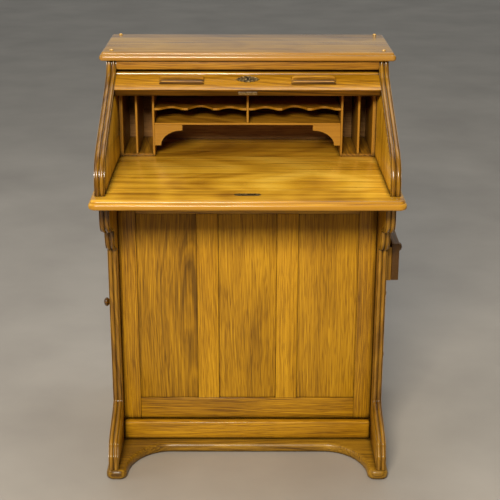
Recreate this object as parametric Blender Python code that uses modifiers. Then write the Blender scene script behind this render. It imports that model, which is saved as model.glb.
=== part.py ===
"""Small S-roll desk: a panelled case with side drawers and a side cupboard, and a tambour top."""
import math

import bmesh
import bpy
from mathutils import Matrix, Vector

# ---------------------------------------------------------------- driving dimensions (metres)
CASE_WIDTH = 0.699              # over the outer faces of the ends and gables
CASE_DEPTH = 0.600              # front foot of a gable to the back of the case
END_THICKNESS = 0.0235          # ends and gables
WRITING_HEIGHT = 0.762          # floor to the writing surface
WRITING_THICKNESS = 0.0225
WRITING_FRONT_OVERHANG = 0.040
WRITING_SIDE_OVERHANG = 0.012
WRITING_CORNER = 0.018          # corner radius in plan
ROLL_RISE = 0.250               # writing surface to the underside of the top board
TOP_THICKNESS = 0.022
TOP_SIDE_OVERHANG = 0.017
TOP_SETBACK = 0.318             # gable front to the top board's front edge
TOP_CORNER = 0.010
BOARD_NOSE = 0.006              # rounding of both boards' edges
BACK_OVERHANG = 0.003           # of both boards behind the case
ORIGIN_BEHIND_FRONT = 0.300     # the origin lies this far behind the gables' front feet

# ---------------------------------------------------------------- clearances
JOINT_GAP = 0.0003              # between boards that touch
RUN_GAP = 0.001                 # around drawers, the door and the lift rail
SEAT_GAP = 0.0006               # under the closed lift rail
GLUE = 0.001                    # how far boards that are glued together enter each other
EDGE = 0.0012                   # eased edge of a board
FINE_EDGE = 0.001               # eased edge of a thin inner board
TOOL_REACH = 0.010              # how far a cutter runs out past the face it cuts
NO_TURN = 0.01                  # headings closer than this, in degrees, are the same

# ---------------------------------------------------------------- base and lower ends
BASE_THICKNESS = 0.024
BASE_SIDE_OVERHANG = 0.0075
HORN_FRONT = 0.045              # behind the gable front, as are all the depths below
HORN_WIDTH = 0.052
HORN_RADIUS = 0.020
HORN_NOSE_SHARE = 0.6           # part of a horn's flat that its inner corner rounds off
BASE_MIDDLE_FRONT = 0.187
BASE_SWEEP = 0.105              # width of the concave sweep beside each horn
BASE_NOSE = 0.004               # rounding of the floor board's and the toe rail's edges

POST_FRONT = 0.1985             # straight part of an end's front edge
POST_BACK = 0.245
BRACKET_FRONT = 0.064
BRACKET_LOBES = (               # start and end depth, drop of its centre, height
    (BRACKET_FRONT, 0.125, 0.0595, 0.043),
    (0.151, POST_FRONT, 0.1145, 0.060),
)
FOOT_FRONT = 0.050
FOOT_TOE_RISE = 0.061           # above the base board
FOOT_TOE_SHARE = 0.45           # part of that rise where the toe's front turns upright
FOOT_SWEEP_RISE = 0.065
FOOT_SWEEP_FRONT = 0.065
REAR_STILE_WIDTH = 0.1145

# ---------------------------------------------------------------- front frame
FRONT_PLANE = 0.237
FRONT_THICKNESS = 0.018
PANEL_RECESS = 0.004
PANEL_THICKNESS = 0.008
STILE_WIDTH = 0.0445
MUNTIN_WIDTH = 0.054
MIDDLE_PANEL_WIDTH = 0.149
TOE_FRONT = 0.215
TOE_TOP = 0.075
BOTTOM_RAIL_TOP = 0.134
TOP_RAIL_DEPTH = 0.0945         # below the top of the case

# ---------------------------------------------------------------- side openings and drawers
OPENING_BOTTOM = 0.107
OPENING_TOP_DROP = 0.0565       # below the top of the case
DRAWER_RAIL = 0.018
DRAWER_SHARES = (0.1000, 0.1005, 0.1250, 0.1930)    # heights, top to bottom, as parts of the stack
DRAWER_FRONT_THICKNESS = 0.019
DRAWER_SIDE = 0.009
DRAWER_FLOOR = 0.007            # underside of the box to its bottom's upper face
DRAWER_REAR_GAP = 0.0185        # between a shut drawer and the partition
DRAWER_BOX_DROP = 0.012         # sides lower than the front
SECOND_DRAWER_OPEN = 0.036      # how far it stands out at rest
KNOB_RADIUS = 0.0115
KNOB_LENGTH = 0.022
KNOB_PROFILE = (                # domed head, waist and foot, as parts of its radius and length
    (0.0, 1.0), (0.5, 0.96), (0.87, 0.84), (1.0, 0.66), (0.83, 0.48),
    (0.5, 0.36), (0.45, 0.16), (0.65, 0.07), (0.65, 0.0), (0.0, 0.0),
)
PARTITION_X = -0.018
PARTITION_THICKNESS = 0.012
DUST_BOARD = 0.012
BACK_FRAME_INSET = 0.003        # its outer face before the back of the case
BACK_FRAME_THICKNESS = 0.0215
BACK_MEMBER = 0.060
BACK_PANEL_RECESS = 0.006

# ---------------------------------------------------------------- door
DOOR_FRAME_WIDTH = 0.045
HINGE_GAP = 0.0025
HINGE_LEAF = 0.0008
HINGE_LEAF_WIDTH = 0.016
HINGE_HEIGHT = 0.050
HINGE_INSET = 0.060
BARREL_RADIUS = 0.0032
PIN_TIP_SHARE = 0.6             # radius of the pin's tips over the barrel's
BARREL_OUT = 0.0036             # barrel centre outside the case side

# ---------------------------------------------------------------- roll outline and tambour track
ROLL_FOOT = 0.018               # upright start of the gable's front edge
ROLL_BEND_RADIUS = 0.085
ROLL_BEND_TO = 33.0             # degrees from level
ROLL_EASE_RADIUS = 0.250
ROLL_SLOPE = 24.0
ROLL_NECK_RADIUS = 0.060        # hollow bend up to the top board
ROLL_NECK_RISE = 0.0406         # height of that bend
TRACK_INSET = 0.020             # gable edge to the back of the slats
TRACK_TOP_DROP = 0.0367         # its level run under the top board
TRACK_TOP_RADIUS = 0.055
TRACK_BACK_RADIUS = 0.030
TRACK_BACK_GAP = 0.0195         # its upright run before the framed back
TRACK_SPARE = 0.042             # track left over behind the open curtain
GROOVE_DEPTH = 0.006
GROOVE_PLAY = 0.0006
SLAT_COUNT = 12
SLAT_PITCH = 0.0280
SLAT_GAP = 0.0006
CANVAS = 0.0012                 # backing that holds a run of slats together
SLAT_THICKNESS = 0.0085
SLAT_BEVEL = 0.002
RAIL_STOP = 0.0023              # the open lift rail stops this far below the end of the slope

# ---------------------------------------------------------------- lift rail and its lock
RAIL_LENGTH = 0.0755            # along the track
RAIL_FRONT = 0.018              # in front of the backs of the slats
RAIL_BEHIND = 0.006
HANDLE_X = 0.162
HANDLE_WIDTH = 0.109
HANDLE_LOW = 0.018              # along the rail, from its lower end
HANDLE_HEIGHT = 0.031
HANDLE_PROUD = 0.012
HANDLE_SECTION = (              # lip, finger groove and upper bar, as parts of its height and depth
    (0.0, 0.0), (0.0, 0.35), (0.19, 0.5), (0.32, 0.25), (0.45, 0.25),
    (0.55, 1.0), (0.71, 1.0), (1.0, 0.3), (1.0, 0.0),
)
ESCUTCHEON_LENGTH = 0.060
ESCUTCHEON_HEIGHT = 0.028
ESCUTCHEON_THICKNESS = 0.0015
ESCUTCHEON_ALONG = 0.038
KEYHOLE_RADIUS = 0.0028
KEYHOLE_RISE = 0.002            # of its round part over the plate's middle
KEYHOLE_FOOT = 0.008            # below the plate's middle
LOCK_WIDTH = 0.046
LOCK_HEIGHT = 0.0215
LOCK_THICKNESS = 0.011
LOCK_BEHIND = 0.017             # centre of the lock behind the gable front, when closed
BOLT_SIZE = (0.0066, 0.0040, 0.0160)
BOLT_X = 0.013
BOLT_THROW = 0.008
BOLT_BAR = 0.004                # bar that ties the two bolts inside the case
STRIKE_LENGTH = 0.062
STRIKE_WIDTH = 0.019
STRIKE_THICKNESS = 0.0012
MORTISE_DEPTH = 0.010
MORTISE_PLAY = 0.0012           # around each bolt in the wood
STRIKE_PLAY = 0.0008            # around each bolt in the strike plate

# ---------------------------------------------------------------- pigeonholes
HOLES_FRONT = 0.355
HOLES_BACK_GAP = 0.022          # their back before the track's upright run
HOLES_DROP = 0.050              # their top under the top board
HOLES_TOP = 0.006
HOLES_STEP = 0.001              # cross pieces stand this far behind the uprights' front edges
OUTER_UPRIGHT = 0.0095
DIVIDER = 0.0055
OUTER_SLOT = 0.03175
INNER_SLOT = 0.0375
SLOT_FLOOR = 0.006
LOWER_SHELF_Z = 0.087
UPPER_SHELF_Z = 0.125
SHELF = 0.0055
SCALLOP_DEPTHS = (0.024, 0.035, 0.024)
SCALLOP_SHARPNESS = (1.5, 0.9, 1.5)    # power of the sine: over 1 the hollow fades out at its ends
SCALLOP_TAB = 0.010
SPANDREL_WIDTH = 0.070
SPANDREL_HEIGHT = 0.053
SPANDREL_NOSE = 0.014
SPANDREL_FOOT = 0.015
SPANDREL_THICKNESS = 0.006
BACK_BOARD = 0.005

HEADER_SETBACK = 0.012          # behind the top board's front edge
HEADER_THICKNESS = 0.015
HEADER_HEIGHT = 0.022
PLUG_RADIUS = 0.0048
PLUG_HEIGHT = 0.004
PLUG_INSET = 0.030              # behind the top board's front edge
PLUG_BACK_INSET = 0.020

# ---------------------------------------------------------------- worked-out places
OUTER_X = CASE_WIDTH / 2
INNER_X = OUTER_X - END_THICKNESS
FIT_X = INNER_X - JOINT_GAP
CASE_TOP = WRITING_HEIGHT - WRITING_THICKNESS
OPENING_TOP = CASE_TOP - OPENING_TOP_DROP
TOP_UNDERSIDE = WRITING_HEIGHT + ROLL_RISE
BASE_TOP = BASE_THICKNESS + JOINT_GAP
REAR_STILE_FRONT = CASE_DEPTH - REAR_STILE_WIDTH
BACK_FRAME_FRONT = CASE_DEPTH - BACK_FRAME_INSET - BACK_FRAME_THICKNESS
HEADER_FRONT = TOP_SETBACK + HEADER_SETBACK
TRACK_BACK = BACK_FRAME_FRONT - TRACK_BACK_GAP
HOLES_BACK = TRACK_BACK - HOLES_BACK_GAP
HOLES_RISE = ROLL_RISE - HOLES_DROP
SLAT_WIDTH = SLAT_PITCH - SLAT_GAP
SLOT_DIVIDER_X = INNER_X - OUTER_UPRIGHT - OUTER_SLOT - DIVIDER / 2
INNER_UPRIGHT_X = SLOT_DIVIDER_X - DIVIDER - INNER_SLOT

def depth(behind_front):
    """Y of a point that lies this far behind the gables' front feet."""
    return behind_front - ORIGIN_BEHIND_FRONT


# ---------------------------------------------------------------- scene helpers
for old in list(bpy.data.objects):
    bpy.data.objects.remove(old, do_unlink=True)

desk = bpy.data.collections.new("roll_top_desk")
cutters = bpy.data.collections.new("cutters")
for collection in (desk, cutters):
    bpy.context.scene.collection.children.link(collection)


def finish(name, colour, roughness, metallic=0.0):
    """A Principled material."""
    material = bpy.data.materials.new(name)
    material.use_nodes = True
    shader = material.node_tree.nodes["Principled BSDF"]
    shader.inputs["Base Color"].default_value = (*colour, 1.0)
    shader.inputs["Roughness"].default_value = roughness
    shader.inputs["Metallic"].default_value = metallic
    return material


OAK = finish("golden_oak", (0.36, 0.19, 0.05), 0.35)
OAK_INSIDE = finish("inside_oak", (0.33, 0.19, 0.07), 0.5)
OAK_DARK = finish("worn_oak", (0.20, 0.10, 0.03), 0.4)
BRASS = finish("aged_brass", (0.30, 0.22, 0.11), 0.45, 0.9)
STEEL = finish("dull_steel", (0.35, 0.34, 0.33), 0.4, 0.9)


def place(mesh, name, material, matrix=None, collection=desk):
    """Put a mesh in the scene as a named object."""
    piece = bpy.data.objects.new(name, mesh)
    collection.objects.link(piece)
    if material:
        mesh.materials.append(material)
    if matrix is not None:
        piece.matrix_world = matrix
    return piece


def board(name, low, high, material, edge=0.0, matrix=None, collection=desk):
    """A rectangular board between its low and high corner."""
    mesh = bpy.data.meshes.new(name)
    shape = bmesh.new()
    low, high = Vector(low), Vector(high)
    cube = bmesh.ops.create_cube(shape, size=1.0)["verts"]
    bmesh.ops.scale(shape, vec=high - low, verts=cube)
    bmesh.ops.translate(shape, vec=(low + high) / 2, verts=cube)
    shape.to_mesh(mesh)
    shape.free()
    piece = place(mesh, name, material, matrix, collection)
    if edge:
        ease(piece, edge)
    return piece


def ease(piece, width, segments=1):
    """Round the sharp outer edges of a piece, not its inner corners."""
    shape = bmesh.new()
    shape.from_mesh(piece.data)
    weight = shape.edges.layers.float.new("bevel_weight_edge")
    for edge in shape.edges:
        if edge.is_convex and edge.calc_face_angle(0.0) > math.radians(40):
            edge[weight] = 1.0
    shape.to_mesh(piece.data)
    shape.free()
    bevel = piece.modifiers.new("eased_edges", "BEVEL")
    bevel.width = width
    bevel.segments = segments
    bevel.limit_method = "WEIGHT"


AXES = {
    "plan": Matrix.Identity(4),
    "side": Matrix(((0, 0, 1, 0), (1, 0, 0, 0), (0, 1, 0, 0), (0, 0, 0, 1))),
    "front": Matrix(((1, 0, 0, 0), (0, 0, -1, 0), (0, 1, 0, 0), (0, 0, 0, 1))),
}


def sawn(name, outline, view, centre, thickness, material, matrix=None, collection=desk, holes=()):
    """A board sawn to an outline drawn in plan, side or front view, as a closed mesh."""
    curve = bpy.data.curves.new(name, "CURVE")
    curve.dimensions = "2D"
    curve.fill_mode = "BOTH"
    curve.extrude = thickness / 2
    for line in (outline, *holes):
        spline = curve.splines.new("POLY")
        spline.points.add(len(line) - 1)
        for point, (across, up) in zip(spline.points, line):
            point.co = (across, up, 0.0, 1.0)
        spline.use_cyclic_u = True
    blank = place(curve, name + "_blank", None, collection=collection)
    drawn = AXES[view] @ Matrix.Translation((0, 0, -centre if view == "front" else centre))
    blank.matrix_world = drawn if matrix is None else matrix @ drawn
    bpy.context.view_layer.update()
    mesh = bpy.data.meshes.new_from_object(blank.evaluated_get(bpy.context.evaluated_depsgraph_get()))
    shape = bmesh.new()
    shape.from_mesh(mesh)
    bmesh.ops.remove_doubles(shape, verts=shape.verts, dist=0.00001)
    bmesh.ops.recalc_face_normals(shape, faces=shape.faces)
    shape.to_mesh(mesh)
    shape.free()
    mesh.materials.clear()
    piece = place(mesh, name, material, blank.matrix_world.copy(), collection)
    bpy.data.objects.remove(blank, do_unlink=True)
    return piece


def turned(name, profile, material, matrix, steps=20, collection=desk):
    """A turned piece: (radius, height) from the top down, about its own Z."""
    mesh = bpy.data.meshes.new(name)
    rim = [(radius, 0.0, height) for radius, height in profile]
    mesh.from_pydata(rim, [(i, i + 1) for i in range(len(rim) - 1)], [])
    piece = place(mesh, name, material, matrix, collection)
    screw = piece.modifiers.new("turning", "SCREW")
    screw.steps = steps
    screw.render_steps = steps
    screw.use_merge_vertices = True
    screw.merge_threshold = 0.0001
    return piece


def cut(piece, tool, operation="DIFFERENCE"):
    """Take a tool's shape out of a piece, or glue it on."""
    tool.hide_render = True
    tool.display_type = "WIRE"
    boolean = piece.modifiers.new(tool.name, "BOOLEAN")
    boolean.operation = operation
    boolean.solver = "EXACT"
    boolean.object = tool


def rectangle(x0, x1, y0, y1):
    """Corners of a rectangle."""
    return [(x0, y0), (x1, y0), (x1, y1), (x0, y1)]


def arc(centre, radii, start, end, steps):
    """Points on an ellipse from one angle to another, in degrees."""
    points = []
    for i in range(steps + 1):
        angle = math.radians(start + (end - start) * i / steps)
        points.append((centre[0] + radii[0] * math.cos(angle), centre[1] + radii[1] * math.sin(angle)))
    return points


def rounded_rectangle(x_half, front, back, radius, steps=5):
    """Plan of a board with rounded corners."""
    corners = ((x_half - radius, front + radius, -90), (x_half - radius, back - radius, 0),
               (-x_half + radius, back - radius, 90), (-x_half + radius, front + radius, 180))
    outline = []
    for x, y, angle in corners:
        outline += arc((x, y), (radius, radius), angle, angle + 90, steps)
    return outline


# ---------------------------------------------------------------- lines in the side view
def travel(start, heading, segments, distance):
    """Point and heading (degrees) at a distance along a chain of lines and arcs."""
    y, z = start
    for index, (kind, *numbers) in enumerate(segments):
        last = index == len(segments) - 1
        if kind == "line":
            length = numbers[0]
            part = distance if last or distance < length else length
            y += part * math.cos(math.radians(heading))
            z += part * math.sin(math.radians(heading))
        else:
            radius, end = numbers
            length = radius * abs(math.radians(end - heading))
            part = distance if last or distance < length else length
            turn = math.copysign(part / radius, end - heading)
            a, b = math.radians(heading), math.radians(heading) + turn
            side = math.copysign(radius, turn)
            y += side * (math.sin(b) - math.sin(a))
            z += side * (math.cos(a) - math.cos(b))
            heading = math.degrees(b)
        distance -= part
        if distance <= 1e-9:
            break
    return y, z, heading


def chain_length(heading, segments):
    """Length of a chain of lines and arcs."""
    total = 0.0
    for kind, *numbers in segments:
        if kind == "line":
            total += numbers[0]
        else:
            total += numbers[0] * abs(math.radians(numbers[1] - heading))
            heading = numbers[1]
    return total


def roll_chain(inset):
    """The gable's front edge up to its slope, or a line inside it."""
    return [("line", ROLL_FOOT),
            ("arc", ROLL_BEND_RADIUS - inset, ROLL_BEND_TO),
            ("arc", ROLL_EASE_RADIUS - inset, ROLL_SLOPE)]


def slope_to(start_y, chain, rise):
    """The sloping line that takes a chain from its end up to this height."""
    foot = travel((start_y, 0.0), 90.0, chain, chain_length(90.0, chain))
    return ("line", (rise - foot[1]) / math.sin(math.radians(ROLL_SLOPE)))


def gable_edge():
    """The gable's whole front edge, from the writing surface to the top board."""
    edge = roll_chain(0.0)
    edge.append(slope_to(0.0, edge, ROLL_RISE - JOINT_GAP - ROLL_NECK_RISE))
    cosine = math.cos(math.radians(ROLL_SLOPE)) - ROLL_NECK_RISE / ROLL_NECK_RADIUS
    edge.append(("arc", ROLL_NECK_RADIUS, math.degrees(math.acos(cosine))))
    return edge


def track_slope():
    """The track's first stretch, from the writing surface to the end of its slope."""
    chain = roll_chain(TRACK_INSET)
    bend_rise = TRACK_TOP_RADIUS * (1 - math.cos(math.radians(ROLL_SLOPE)))
    chain.append(slope_to(TRACK_INSET, chain, ROLL_RISE - TRACK_TOP_DROP - bend_rise))
    return chain


OPEN_RAIL_TOP = chain_length(90.0, track_slope()) - RAIL_STOP
TAMBOUR_TRAVEL = OPEN_RAIL_TOP - RAIL_LENGTH


def track_chain():
    """The line that the slats' backs follow, from the writing surface to the tail."""
    chain = track_slope() + [("arc", TRACK_TOP_RADIUS, 0.0)]
    top_end = travel((TRACK_INSET, 0.0), 90.0, chain, chain_length(90.0, chain))
    chain.append(("line", TRACK_BACK - TRACK_BACK_RADIUS - top_end[0]))
    chain.append(("arc", TRACK_BACK_RADIUS, -90.0))
    open_end = OPEN_RAIL_TOP + SLAT_COUNT * SLAT_PITCH
    chain.append(("line", open_end + TRACK_SPARE - chain_length(90.0, chain)))
    return chain


TRACK = track_chain()


def on_track(distance, proud=0.0):
    """Y, Z and heading in the world at a distance along the track, set forward of it by proud."""
    y, z, heading = travel((TRACK_INSET, 0.0), 90.0, TRACK, distance)
    angle = math.radians(heading)
    return (depth(y - proud * math.sin(angle)), WRITING_HEIGHT + z + proud * math.cos(angle), heading)


def chain_stations(heading, segments, steps):
    """Distances along a chain to its corner points, with the arcs in steps."""
    stations = [0.0]
    for kind, *numbers in segments:
        if kind == "line":
            length, pieces = numbers[0], 1
        else:
            length, pieces = numbers[0] * abs(math.radians(numbers[1] - heading)), steps
            heading = numbers[1]
        done = stations[-1]
        stations += [done + length * i / pieces for i in range(1, pieces + 1)]
    return stations


def pose(y, z, heading):
    """Matrix of a piece that lies along the track: its Y runs along it, its Z points out."""
    return Matrix.Translation((0, y, z)) @ Matrix.Rotation(math.radians(heading), 4, "X")


def pole(start, end):
    """Centre (Y, Z) of the single turn, in degrees, that takes one pose to another.

    A piece that only slides has no such centre, so its own start stands for it."""
    turn = end[2] - start[2]
    if abs(turn) < NO_TURN:
        return start[0], start[1], 0.0
    spin = Matrix.Rotation(math.radians(turn), 2)
    still = Matrix.Identity(2) - spin
    centre = still.inverted() @ (Vector(end[:2]) - spin @ Vector(start[:2]))
    return centre.x, centre.y, turn


def joint_axis(name, location):
    """An empty on a joint's axis."""
    empty = bpy.data.objects.new(name, None)
    empty.empty_display_size = 0.02
    empty.location = location
    desk.objects.link(empty)
    return empty


def hang(pieces, empty):
    """Parent pieces to the empty on their joint's axis, where they are."""
    bpy.context.view_layer.update()
    for piece in pieces:
        piece.parent = empty
        piece.matrix_parent_inverse = empty.matrix_world.inverted()


# ---------------------------------------------------------------- base and case
def base_platform():
    """Floor board with two horns that carry the feet and a hollow front between them."""
    half = OUTER_X + BASE_SIDE_OVERHANG
    front, middle, back = depth(HORN_FRONT), depth(BASE_MIDDLE_FRONT), depth(CASE_DEPTH)
    inner = half - HORN_WIDTH
    sweep_foot = front + HORN_RADIUS
    nose = (HORN_WIDTH - HORN_RADIUS) * HORN_NOSE_SHARE
    side = arc((half - HORN_RADIUS, sweep_foot), (HORN_RADIUS, HORN_RADIUS), 0, -90, 5)
    side += arc((inner + nose, sweep_foot), (nose, HORN_RADIUS), -90, -180, 4)[1:]
    side += arc((inner - BASE_SWEEP, sweep_foot), (BASE_SWEEP, middle - sweep_foot), 0, 90, 9)[1:]
    outline = [(half, back)] + side
    outline += [(-x, y) for x, y in reversed(outline)]
    piece = sawn("base_platform", outline, "plan", BASE_THICKNESS / 2, BASE_THICKNESS, OAK_DARK)
    ease(piece, BASE_NOSE, 2)


def end_post(name, sign):
    """Front stile of a lower end: scrolled bracket above, sweeping foot below."""
    top = CASE_TOP - JOINT_GAP
    edge = [(depth(BRACKET_FRONT), top)]
    for start, end, drop, height in BRACKET_LOBES:
        centre = (depth(end), CASE_TOP - drop)
        edge += arc(centre, (end - start, height), 180, 270, 6)
    toe = BASE_TOP + FOOT_TOE_RISE
    for i in range(11):
        share = i / 10
        sway = (1 - math.cos(math.pi * share)) / 2
        y = POST_FRONT + (FOOT_SWEEP_FRONT - POST_FRONT) * sway
        edge.append((depth(y), toe + FOOT_SWEEP_RISE * (1 - share)))
    edge.append((depth(FOOT_FRONT), BASE_TOP + FOOT_TOE_RISE * FOOT_TOE_SHARE))
    edge.append((depth(FOOT_FRONT), BASE_TOP))
    edge += [(depth(POST_BACK), BASE_TOP), (depth(POST_BACK), top)]
    piece = sawn(name, edge, "side", sign * (OUTER_X - END_THICKNESS / 2), END_THICKNESS, OAK)
    ease(piece, EDGE)


def drawer_heights():
    """Low and high Z of each drawer opening, top one first."""
    gaps = DRAWER_RAIL * (len(DRAWER_SHARES) - 1)
    scale = (OPENING_TOP - OPENING_BOTTOM - gaps) / sum(DRAWER_SHARES)
    spans, top = [], OPENING_TOP
    for share in DRAWER_SHARES:
        spans.append((top - share * scale, top))
        top -= share * scale + DRAWER_RAIL
    return spans


def lower_ends():
    """Posts, and the frames behind them whose rails bound the side openings."""
    low, high = BASE_TOP, CASE_TOP - JOINT_GAP
    front, back = depth(POST_BACK) + JOINT_GAP, depth(CASE_DEPTH)
    stile = depth(REAR_STILE_FRONT)
    openings = {"left": [(OPENING_BOTTOM, OPENING_TOP)], "right": drawer_heights()}
    for side, sign in (("left", -1), ("right", 1)):
        end_post("end_post_" + side, sign)
        outline = [(front, low), (back, low), (back, high), (front, high)]
        for z0, z1 in openings[side]:
            outline += [(front, z1), (stile, z1), (stile, z0), (front, z0)]
        frame = sawn("side_frame_" + side, outline, "side", sign * (OUTER_X - END_THICKNESS / 2),
                     END_THICKNESS, OAK)
        ease(frame, EDGE)


def front_frame():
    """Fixed frame of stiles, muntins and rails with three flat panels, and the toe rail."""
    low, high = TOE_TOP + JOINT_GAP, CASE_TOP - JOINT_GAP
    plane = depth(FRONT_PLANE)
    stile_in = INNER_X - STILE_WIDTH
    muntin_in = MIDDLE_PANEL_WIDTH / 2
    muntin_out = muntin_in + MUNTIN_WIDTH
    panel_low, panel_high = BOTTOM_RAIL_TOP, CASE_TOP - TOP_RAIL_DEPTH
    bays = {"left": (-stile_in, -muntin_out), "middle": (-muntin_in, muntin_in),
            "right": (muntin_out, stile_in)}
    holes = []
    for side, (x0, x1) in bays.items():
        holes.append(rectangle(x0, x1, panel_low, panel_high))
        front = plane + PANEL_RECESS
        board("front_panel_" + side, (x0 + JOINT_GAP, front, panel_low + JOINT_GAP),
              (x1 - JOINT_GAP, front + PANEL_THICKNESS, panel_high - JOINT_GAP), OAK)
    frame = sawn("front_frame", rectangle(-FIT_X, FIT_X, low, high), "front", plane + FRONT_THICKNESS / 2,
                 FRONT_THICKNESS, OAK, holes=holes)
    ease(frame, EDGE)
    toe = board("toe_rail", (-FIT_X, depth(TOE_FRONT), BASE_TOP), (FIT_X, plane - JOINT_GAP, TOE_TOP), OAK)
    ease(toe, BASE_NOSE, 2)


def framed_back(name, low, high, bays):
    """Panelled board that closes the back between the ends, its panels let in from behind."""
    front = depth(BACK_FRAME_FRONT)
    behind = front + BACK_FRAME_THICKNESS
    back = board(name, (-FIT_X, front, low), (FIT_X, behind, high), OAK_INSIDE)
    width = (2 * FIT_X - BACK_MEMBER) / bays
    for i in range(bays):
        x = -FIT_X + BACK_MEMBER + i * width
        recess_low = (x, behind - BACK_PANEL_RECESS, low + BACK_MEMBER)
        recess_high = (x + width - BACK_MEMBER, behind + TOOL_REACH, high - BACK_MEMBER)
        recess = board("%s_recess_%d" % (name, i), recess_low, recess_high, None, collection=cutters)
        cut(back, recess)


def drawer_housing():
    """Partition with dust boards that carry the drawers, closed by a wall behind them."""
    low, high = BASE_TOP, CASE_TOP - JOINT_GAP
    front = depth(FRONT_PLANE + FRONT_THICKNESS) + JOINT_GAP
    back = depth(BACK_FRAME_FRONT) - JOINT_GAP
    wall = depth(REAR_STILE_FRONT)
    outline = [(PARTITION_X - PARTITION_THICKNESS, high), (PARTITION_X - PARTITION_THICKNESS, low),
               (PARTITION_X, low)]
    for bottom, _ in reversed(drawer_heights()):
        outline += [(PARTITION_X, bottom - DUST_BOARD), (FIT_X, bottom - DUST_BOARD), (FIT_X, bottom),
                    (PARTITION_X, bottom)]
    outline.append((PARTITION_X, high))
    housing = sawn("drawer_housing", outline, "front", (front + wall) / 2, wall - front, OAK_INSIDE)
    rear_low = (PARTITION_X - PARTITION_THICKNESS + GLUE, wall - 5 * GLUE, low + GLUE)
    rear_high = (PARTITION_X - GLUE, back, high - GLUE)
    rear = board("partition_rear", rear_low, rear_high, None, collection=cutters)
    cut(housing, rear, "UNION")
    board("drawer_wall", (PARTITION_X + JOINT_GAP, wall + JOINT_GAP, low),
          (FIT_X, wall + JOINT_GAP + DRAWER_SIDE, high), OAK_INSIDE)


def knob(name, foot, direction):
    """Turned wooden knob standing on a point, along +X or -X."""
    profile = [(KNOB_RADIUS * across, KNOB_LENGTH * up) for across, up in KNOB_PROFILE]
    turn = Matrix.Rotation(math.radians(90 * direction), 4, "Y")
    return turned(name, profile, OAK_DARK, Matrix.Translation(foot) @ turn, 16)


def drawers():
    """Four graduated drawers that pull out of the right side."""
    y0 = depth(POST_BACK) + JOINT_GAP + RUN_GAP
    y1 = depth(REAR_STILE_FRONT) - RUN_GAP
    side_front = depth(FRONT_PLANE + FRONT_THICKNESS) + JOINT_GAP + RUN_GAP
    for number, (low, high) in enumerate(drawer_heights(), 1):
        name = "drawer_%d" % number
        drawn = SECOND_DRAWER_OPEN if number == 2 else 0.0
        face = OUTER_X + drawn
        inside = face - DRAWER_FRONT_THICKNESS
        tail = PARTITION_X + DRAWER_REAR_GAP + drawn
        foot, rim = low + JOINT_GAP, high - DRAWER_BOX_DROP
        front = board(name, (inside, y0, low + RUN_GAP), (face, y1, high - RUN_GAP), OAK, EDGE)
        box = board(name + "_box", (tail, side_front, foot), (inside + GLUE, y1, rim), None,
                    collection=cutters)
        hollow = board(name + "_hollow", (tail + DRAWER_SIDE, side_front + DRAWER_SIDE, foot + DRAWER_FLOOR),
                       (inside, y1 - DRAWER_SIDE, rim + TOOL_REACH), None, collection=cutters)
        cut(box, hollow)
        cut(front, box, "UNION")
        grip = knob(name + "_knob", (face + JOINT_GAP, (y0 + y1) / 2, (low + high) / 2), 1)
        slide = joint_axis(name + "_slide", (face, (y0 + y1) / 2, (low + high) / 2))
        hang([front, grip, box, hollow], slide)


def cupboard_door():
    """Framed door on the left side, hinged at the rear on two butt hinges."""
    y0 = depth(POST_BACK) + JOINT_GAP + RUN_GAP
    y1 = depth(REAR_STILE_FRONT) - HINGE_GAP
    z0, z1 = OPENING_BOTTOM + RUN_GAP, OPENING_TOP - RUN_GAP
    face, thickness = -OUTER_X, DRAWER_FRONT_THICKNESS
    width = DOOR_FRAME_WIDTH
    hole = rectangle(y0 + width, y1 - width, z0 + width, z1 - width)
    frame = sawn("door_frame", rectangle(y0, y1, z0, z1), "side", face + thickness / 2, thickness, OAK,
                 holes=[hole])
    ease(frame, EDGE)
    inset = width + JOINT_GAP
    panel = board("door_panel", (face + PANEL_RECESS, y0 + inset, z0 + inset),
                  (face + PANEL_RECESS + PANEL_THICKNESS, y1 - inset, z1 - inset), OAK)
    grip = knob("door_knob", (face - JOINT_GAP, y0 + width / 2, (z0 + z1) / 2), -1)

    axis = (face - BARREL_OUT, y1 + HINGE_GAP / 2)
    half = HINGE_HEIGHT / 2
    tip = BARREL_RADIUS * PIN_TIP_SHARE
    upper = [(0.0, half + tip * 1.5), (tip, half + tip), (tip, half), (BARREL_RADIUS, half)]
    profile = upper + [(radius, -height) for radius, height in reversed(upper)]
    for end, z in (("lower", z0 + HINGE_INSET), ("upper", z1 - HINGE_INSET)):
        barrel = turned("door_hinge_" + end, profile, BRASS, Matrix.Translation((*axis, z)), 12)
        back = y1 + HINGE_GAP - JOINT_GAP
        leaf = board("hinge_leaf_" + end, (axis[0], back - HINGE_LEAF, z - half + GLUE),
                     (face + HINGE_LEAF_WIDTH, back, z + half - GLUE), None, collection=cutters)
        cut(barrel, leaf, "UNION")
    hang([frame, panel, grip], joint_axis("door_hinge_axis", (*axis, z0)))


# ---------------------------------------------------------------- writing surface and roll
def strike_outline(grow):
    """Plan of the strike plate: a strip with round ends."""
    radius = STRIKE_WIDTH / 2 + grow
    reach = STRIKE_LENGTH / 2 - STRIKE_WIDTH / 2
    centre = depth(LOCK_BEHIND)
    return (arc((reach, centre), (radius, radius), -90, 90, 8)
            + arc((-reach, centre), (radius, radius), 90, 270, 8))


def cut_slots(piece, name, bottom, top, grow, matrix=None):
    """Cut the two upright bolt slots into a piece, between two heights."""
    centre = depth(LOCK_BEHIND)
    wide, thick = BOLT_SIZE[0] / 2 + grow, BOLT_SIZE[1] / 2 + grow
    for x in (-BOLT_X, BOLT_X):
        slot = board(name, (x - wide, centre - thick, bottom), (x + wide, centre + thick, top), None,
                     matrix=matrix, collection=cutters)
        cut(piece, slot)


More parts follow.
